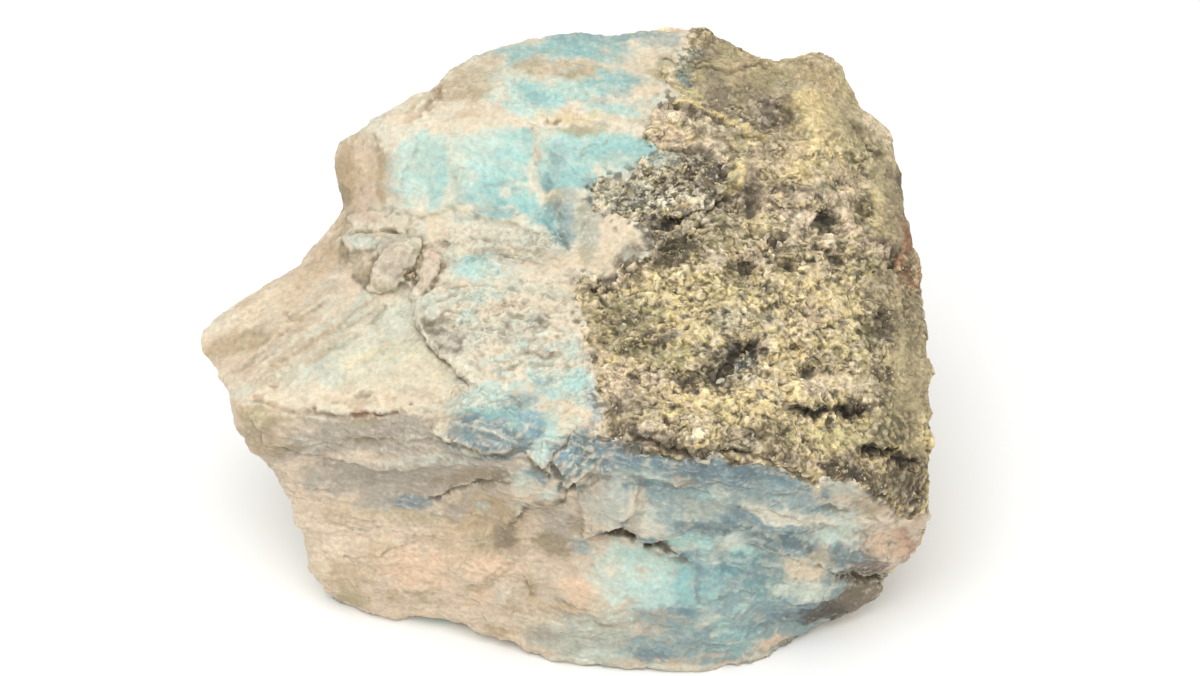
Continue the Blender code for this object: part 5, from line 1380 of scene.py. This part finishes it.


# %% [markdown]
# ## The pectolite's stains
#
# The coats go on as nature's did. The mineral itself comes first, hidden sides included: cream with
# cloudy blue. Then come the drawn ovals of the top, a thin ivory veil, the wall's coat with its grain, its
# ovals and the brow's, and the grain and the lines over all. Last come painted shade in the hollows, the
# cracks and at the feet of steps, partly dust, painted highlights on the crests and rims, partly bruises,
# and crumbs of basalt that cling beside the contact.

# %% The pectolite's stains
for shell in pectolites:
    points, u, v, seen, mottle, fine_mottle = prepared(shell)
    cloud = rough(points, 11.0, 51) + 0.5 * rough(points, 4.0, 52)
    streak = rough(points, 3.0, 53, (2.5, 1.0, 1.0)) + 0.5 * rough(points, 1.2, 54)
    mineral = np.tile(STAIN["cream"], (len(points), 1))
    mineral = stain(mineral, "ivory", smooth_step(0.5 + 1.5 * streak))
    mineral = stain(mineral, "sand", 0.8 * smooth_step(1.8 * rough(points, 7.0, 55) - 0.1 + 0.3 * mottle))
    mineral = stain(mineral, "aqua", 0.8 * smooth_step(2.2 * cloud - 0.3 + 0.5 * mottle))
    mineral = stain(mineral, "slate", 0.6 * smooth_step(2.6 * cloud - 1.3 + 0.5 * mottle))

    brow_v = np.interp(shell.u, BROW[:, 0], BROW[:, 1])
    lower = smooth_step(0.5 + (brow_v - shell.v) / 0.8)
    upper = seen * (1.0 - lower)
    mineral = stain(mineral, "cream", 0.9 * upper)
    mineral = stain(mineral, "ivory", 0.7 * upper * smooth_step(0.5 + 1.5 * streak))
    misty = smooth_step(0.3 + 2.0 * rough(points, 5.0, 76) + 0.6 * mottle)
    mineral = stain(mineral, "mist", 0.5 * upper * misty)
    calm_mottle = mottle * (1.0 - 0.55 * shell.calm)
    mineral = ovals(mineral, u, v, calm_mottle, TOP_OVALS, upper)
    mineral = ovals(mineral, u, v, calm_mottle, WING_OVALS, upper, WING_LIFT)
    mineral = ovals(mineral, u, v, mottle, MIDDLE_OVALS + CLUSTER_OVALS, upper)
    veil = smooth_step(3.0 * (rough(points, 1.6, 77, (2.0, 1.0, 1.0)) + 0.5 * fine_mottle) - 0.3)
    mineral = stain(mineral, "ivory", 0.3 * upper * veil * (1.0 - 0.6 * shell.calm))

    mineral = stain(mineral, "shell", 0.85 * seen * lower)
    for name, cover in shell.grain:
        mineral = stain(mineral, name, lower * cover)
    mineral = ovals(mineral, u, v, mottle, WALL_OVALS, seen * lower, WALL_LIFT)
    mineral = ovals(mineral, u, v, 1.2 * mottle, BROW_OVALS, seen, BROW_LIFT)
    for name, cover in shell.grain:
        mineral = stain(mineral, name, (0.85 - 0.4 * lower) * cover)
    for table in (TOP_LINES, MIDDLE_LINES, WING_LINES, CLUSTER_LINES, BROW_LINES):
        mineral = lines(mineral, shell, table, seen)
    mineral = lines(mineral, shell, WALL_LINES, seen * lower, WALL_LIFT)

    # Painted light and shade: crests are lightened and hollows darkened; the fine mottle is random tone.
    mineral *= (1.0 + 0.08 * shell.fine + 0.06 * shell.broad + 0.06 * fine_mottle)[:, None]
    flecks = smooth_step(5.0 * (rough(points, 0.9, 78) + 0.5 * rough(points, 0.5, 79)) - 1.2)
    mineral = stain(mineral, "umber", 0.30 * shell.chipped * flecks)
    # Painted highlights, partly bruising: ivory on the crests and on the terraces' rims.
    bruises_and_highlights = 0.5 * np.clip(shell.fine - 0.4, 0.0, 1.0) + 0.8 * shell.rim
    mineral = stain(mineral, "ivory", np.clip(bruises_and_highlights, 0.0, 0.9))
    # Painted shade, partly dust: tan in the deep hollows.
    mineral = stain(mineral, "tan", 0.3 * np.clip(-shell.fine - 0.5, 0.0, 1.0))
    # Painted shade: umber in the cracks, the dimples and at the feet of ledges, blocks and terraces.
    mineral = stain(mineral, "umber", 0.75 * np.clip(shell.shade, 0.0, 1.0))
    beside = np.exp(-(shell.in_basalt**2)) * seen
    mineral = stain(mineral, "bark", 0.8 * beside * smooth_step(5.0 * rough(points, 0.9, 107) - 0.4))
    keep_stain(shell, mineral)

# %% [markdown]
# ## The basalt's stains
#
# Cloudy tints come first, then the grain, the drawn zones over it, and a tint for each crumb. The dark
# places are dimmed with painted shade, and a thinner coat of grain goes over all, with its ivory and soot
# specks almost whole. Light crystals stand out of a dark crumbling ground, so the painted shade in the
# hollows and the painted highlights on the crests are strong here. Beside the contact cream pectolite
# clings to the rock, and painted shade darkens the low edge over the wall.

# %% The basalt's stains
SPECKS = ("ivory", "soot")
LOW_EDGE = -11.0
HOST_LIFT = 1.12
for shell in basalts:
    points, u, v, seen, mottle, fine_mottle = prepared(shell)
    rock = np.tile(STAIN["olive"], (len(points), 1))
    rock = stain(rock, "honey", 0.7 * smooth_step(0.6 + 2.0 * rough(points, 7.0, 58) + mottle))
    rock = stain(rock, "rose", 0.8 * smooth_step(0.2 + 2.0 * rough(points, 6.0, 59) + mottle))
    rock = stain(rock, "umber", 0.6 * smooth_step(2.2 * rough(points, 6.0, 56) - 0.5 + 0.8 * mottle))
    rock = stain(rock, "plum", 0.6 * smooth_step(2.2 * rough(points, 5.0, 57) - 0.5 + 0.8 * mottle))
    rock = stain(rock, "honey", 0.8 * seen * smooth_step((8.0 - v) / 8.0 + 0.5 * mottle))
    for name, cover in shell.grain:
        rock = stain(rock, name, cover)
    rock = ovals(rock, u, v, 1.4 * mottle, HOST_OVALS, 0.85 * seen)
    crumbly = 1.0 - 0.8 * shell.worn
    tint = rough(points, 1.1, 99, (1.4, 1.0, 1.0)) + 0.6 * fine_mottle
    rock *= (1.0 + (0.3 + 0.7 * crumbly) * np.clip(0.5 * tint, -0.25, 0.25))[:, None]

    # Painted shade: bark in the holes and hollows that DIM lists.
    dim = zones(u, v, DIM) * seen
    rock = stain(rock, "bark", 0.75 * dim * smooth_step(0.75 + 2.0 * fine_mottle))
    for name, cover in shell.grain:
        rock = stain(rock, name, ((1.0 - 0.5 * dim) if name in SPECKS else 0.35 * (1.0 - dim)) * cover)
    dirty = smooth_step(0.7 + 2.5 * rough(points, 3.0, 103))
    flecks = rough(points, 0.8, 109, (1.6, 1.0, 1.0)) + 0.5 * rough(points, 0.4, 111)
    flecks = smooth_step(7.0 * flecks - 1.6)
    rock = stain(rock, "bark", 0.75 * crumbly * dirty * np.maximum(flecks, 0.8 * shell.pits))
    chips = smooth_step(8.0 * rough(points, 0.8, 101) - 2.2)
    rock = stain(rock, "ivory", 0.7 * crumbly * (1.0 - 0.6 * seen) * chips)
    rock = lines(rock, shell, HOST_LINES, seen)

    # Painted light and shade: crests are lightened and hollows darkened.
    rock *= (1.0 + 0.12 * shell.fine + 0.12 * shell.broad)[:, None]
    # Painted highlight: honey on the rims of the crusts' terraces.
    rock = stain(rock, "honey", 0.5 * np.clip(shell.rim, 0.0, 1.0))
    # Painted shade: soot in the cracks, the holes and at the feet of ledges and crusts.
    rock = stain(rock, "soot", 0.75 * np.clip(shell.shade, 0.0, 1.0))
    beside = np.exp(-(shell.in_basalt**2)) * seen
    low = smooth_step((LOW_EDGE - v) / 2.0)
    clinging = smooth_step(5.0 * rough(points, 0.9, 110) - 0.2)
    rock = stain(rock, "cream", 0.9 * beside * (1.0 - low) * clinging)
    # Painted shade: bark along the basalt's low edge, where it meets the wall under it.
    low_edge_shade = smooth_step(0.6 + 3.0 * rough(points, 0.9, 112, (1.8, 1.0, 1.0)))
    rock = stain(rock, "bark", 0.8 * low * beside * low_edge_shade)
    keep_stain(shell, HOST_LIFT * rock)

# %% [markdown]
# ## Pectolite
#
# Pectolite is a silky, slightly waxy mineral: its index is 1.6 and a broken face of it shines weakly. The
# material reads the laid stain. A speckle breaks it up at the size of single needles, which are finer than
# the skin's points, and a bump gives the needles relief.

# %% Pectolite
NEEDLE = 0.35 * MM


def stone_material(name, ior, roughness):
    """A material that starts from the laid stain: the tree, its shader, the place and the stain."""
    material = bpy.data.materials.new(name)
    material.use_nodes = True
    tree = material.node_tree
    shader = tree.nodes["Principled BSDF"]
    shader.inputs["IOR"].default_value = ior
    shader.inputs["Roughness"].default_value = roughness
    shader.inputs["Specular IOR Level"].default_value = 0.35
    place = node(tree, "ShaderNodeTexCoord").outputs["Object"]
    laid = node(tree, "ShaderNodeAttribute", {"attribute_name": "stain"}).outputs["Color"]
    return material, tree, shader, place, laid


def speckled(tree, shader, laid, light):
    """Multiplies the stain by a speckle's light and gives it to the shader."""
    coloured = node(tree, "ShaderNodeVectorMath", {"operation": "SCALE"}, i0=laid, Scale=light)
    tree.links.new(coloured.outputs["Vector"], shader.inputs["Base Color"])


silky_pectolite, tree, shader, place, laid = stone_material("silky_pectolite", 1.6, 0.55)
fibre = node(tree, "ShaderNodeTexNoise", Vector=place, Scale=1.0 / (2.0 * NEEDLE), Detail=4.0,
             Roughness=0.7)
cloudy = node(tree, "ShaderNodeTexNoise", Vector=place, Scale=1.0 / (7.0 * NEEDLE), Detail=5.0,
              Roughness=0.65)
fibre_light = node(tree, "ShaderNodeMapRange", Value=fibre.outputs["Fac"], From_Min=0.3, From_Max=0.7,
                   To_Min=0.84, To_Max=1.14)
cloud_light = node(tree, "ShaderNodeMapRange", Value=cloudy.outputs["Fac"], From_Min=0.35, From_Max=0.65,
                   To_Min=0.92, To_Max=1.08)
light = node(tree, "ShaderNodeMath", {"operation": "MULTIPLY"}, i0=fibre_light.outputs["Result"],
             i1=cloud_light.outputs["Result"])
speckled(tree, shader, laid, light.outputs["Value"])
relief = node(tree, "ShaderNodeBump", Height=fibre.outputs["Fac"], Strength=0.6, Distance=0.3 * MM)
tree.links.new(relief.outputs["Normal"], shader.inputs["Normal"])
print("pectolite nodes:", len(tree.nodes))

# %% [markdown]
# ## Basalt
#
# Basalt is dull and granular. Its speckle has two parts: a tint for each crystal, and dust that is
# coarser and much stronger than the pectolite's. Its bump is rougher too.

# %% Basalt
CRYSTAL = 0.45 * MM

crumbling_basalt, tree, shader, place, laid = stone_material("crumbling_basalt", 1.5, 0.85)
grains = node(tree, "ShaderNodeTexVoronoi", Vector=place, Scale=1.0 / CRYSTAL)
dust = node(tree, "ShaderNodeTexNoise", Vector=place, Scale=1.0 / (1.6 * CRYSTAL), Detail=4.0,
            Roughness=0.75)
grain_lot = node(tree, "ShaderNodeSeparateColor", Color=grains.outputs["Color"]).outputs["Red"]
grain_light = node(tree, "ShaderNodeMapRange", Value=grain_lot, To_Min=0.84, To_Max=1.16)
dust_light = node(tree, "ShaderNodeMapRange", Value=dust.outputs["Fac"], From_Min=0.3, From_Max=0.7,
                  To_Min=0.72, To_Max=1.28)
light = node(tree, "ShaderNodeMath", {"operation": "MULTIPLY"}, i0=grain_light.outputs["Result"],
             i1=dust_light.outputs["Result"])
speckled(tree, shader, laid, light.outputs["Value"])
relief = node(tree, "ShaderNodeBump", Height=dust.outputs["Fac"], Strength=0.7, Distance=0.4 * MM)
tree.links.new(relief.outputs["Normal"], shader.inputs["Normal"])
print("basalt nodes:", len(tree.nodes))

# %% [markdown]
# ## Set the shells
#
# The shells go back to metres and together stand for the plain solid.

# %% Set the shells
for shell in shells:
    bm = bmesh.new()
    bm.from_mesh(shell.mesh)
    bmesh.ops.scale(bm, vec=(MM,) * 3, verts=bm.verts[:])
    for face in bm.faces:
        face.smooth = shell in pectolites
    stone = bpy.data.objects.new(shell.name, bpy.data.meshes.new(shell.name + "_set"))
    bm.to_mesh(stone.data)
    print(shell.name + " closed:", all(edge.is_manifold for edge in bm.edges))
    bm.free()
    stone.data.materials.append(silky_pectolite if shell in pectolites else crumbling_basalt)
    bpy.context.scene.collection.objects.link(stone)
    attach(stone, "root")
    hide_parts("larimar_stone")

# %% [markdown]
# ## Loose crystals
#
# Small crystals of feldspar and augite stand half out of the crumbling ground. Bump alone would leave
# their outline and their shadows flat, so they are real shapes: a few jittered twenty-faced balls, set
# into the skin thousands of times. They keep to the crumbly parts, and crowd in one dark hollow.

# %% The crystals' finish and shapes
CRYSTALS = 1300  # on each of the three shells
SHAPES = 9
CROWDED = (12.3, 21.4, 8.2, 4.7)  # the hollow: u, v, half width, half height
CRYSTAL_COLOURS = [STAIN[name] for name in (
    "honey", "cream", "lime", "ivory", "olive", "ivory", "honey", "umber", "bark", "shell", "soot",
)]

crystal_finish, tree, shader, place, laid = stone_material("feldspar_and_augite", 1.55, 0.6)
dust = node(tree, "ShaderNodeTexNoise", Vector=place, Scale=1.0 / (0.4 * MM), Detail=3.0)
dust_light = node(tree, "ShaderNodeMapRange", Value=dust.outputs["Fac"], From_Min=0.3, From_Max=0.7,
                  To_Min=0.75, To_Max=1.2)
speckled(tree, shader, laid, dust_light.outputs["Result"])

draw = np.random.RandomState(5)
shapes = []
for _ in range(SHAPES):
    bm = bmesh.new()
    bmesh.ops.create_icosphere(bm, subdivisions=1, radius=1.0)
    shape = bpy.data.meshes.new("crystal")
    bm.to_mesh(shape)
    bm.free()
    shape.attributes.new("stain", "FLOAT_COLOR", "POINT")
    corners = np.array([vertex.co for vertex in shape.vertices])
    shapes.append((shape, corners * draw.uniform(0.6, 1.2, (len(corners), 1))))


# %% Strew the crystals
def strewn(name, centres, outward, sizes, tints):
    """One piece made of many crystals, each set into the skin and turned at random."""
    bm = bmesh.new()
    for centre, out, size, tint in zip(centres, outward, sizes, tints):
        shape, corners = shapes[draw.randint(len(shapes))]
        side = np.cross(out, draw.normal(size=3))
        side /= np.linalg.norm(side)
        axes = np.stack([side * draw.uniform(0.8, 1.6), np.cross(out, side), out * draw.uniform(0.5, 0.9)])
        shape.vertices.foreach_set("co", (((corners @ axes) * size + centre) * MM).ravel())
        shape.attributes["stain"].data.foreach_set("color", np.tile([*tint, 1.0], len(corners)))
        bm.from_mesh(shape)
    piece = bpy.data.objects.new(name, bpy.data.meshes.new(name))
    bm.to_mesh(piece.data)
    print(name + ":", len(bm.faces), "triangles")
    bm.free()
    piece.data.materials.append(crystal_finish)
    bpy.context.scene.collection.objects.link(piece)
    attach(piece, "root")


for shell in basalts:
    corner_of = np.empty(3 * len(shell.mesh.polygons), int)
    shell.mesh.polygons.foreach_get("vertices", corner_of)
    corner_of = corner_of.reshape(-1, 3)
    points, normals = read(shell.mesh)
    a, b, c = (points[corner_of[:, i]] for i in range(3))
    cross = np.cross(b - a, c - a)
    area = 0.5 * np.linalg.norm(cross, axis=1)
    out_of = cross / np.maximum(2.0 * area[:, None], 1e-9)
    crust = smooth_step(shell.inside - 0.2) * (1.0 - 0.8 * shell.worn)
    crust *= (points[:, 2] > 1.0) * (shell.shade < 0.3)
    crowd = spread(shell.u, shell.v, *CROWDED)
    crust *= 0.1 + smooth_step(0.6 + 2.5 * rough(points, 4.0, 74)) + 2.0 * crowd
    weight = area * crust[corner_of].min(axis=1)
    chosen = draw.choice(len(weight), size=CRYSTALS, p=weight / weight.sum())
    mixed = draw.dirichlet((1.0, 1.0, 1.0), size=CRYSTALS)
    centres = sum(mixed[:, [i]] * points[corner_of[chosen, i]] for i in range(3))
    sizes = draw.uniform(0.14, 0.30, CRYSTALS)
    picked = ROOM * np.array(CRYSTAL_COLOURS)[draw.randint(len(CRYSTAL_COLOURS), size=CRYSTALS)]
    tints = np.clip(0.6 * picked + 0.4 * shell.colours[corner_of[chosen, 0]], 0.01, 0.85)
    centres = centres - out_of[chosen] * sizes[:, None] * 0.35
    strewn("crystals_" + shell.name, centres, out_of[chosen], sizes, tints)
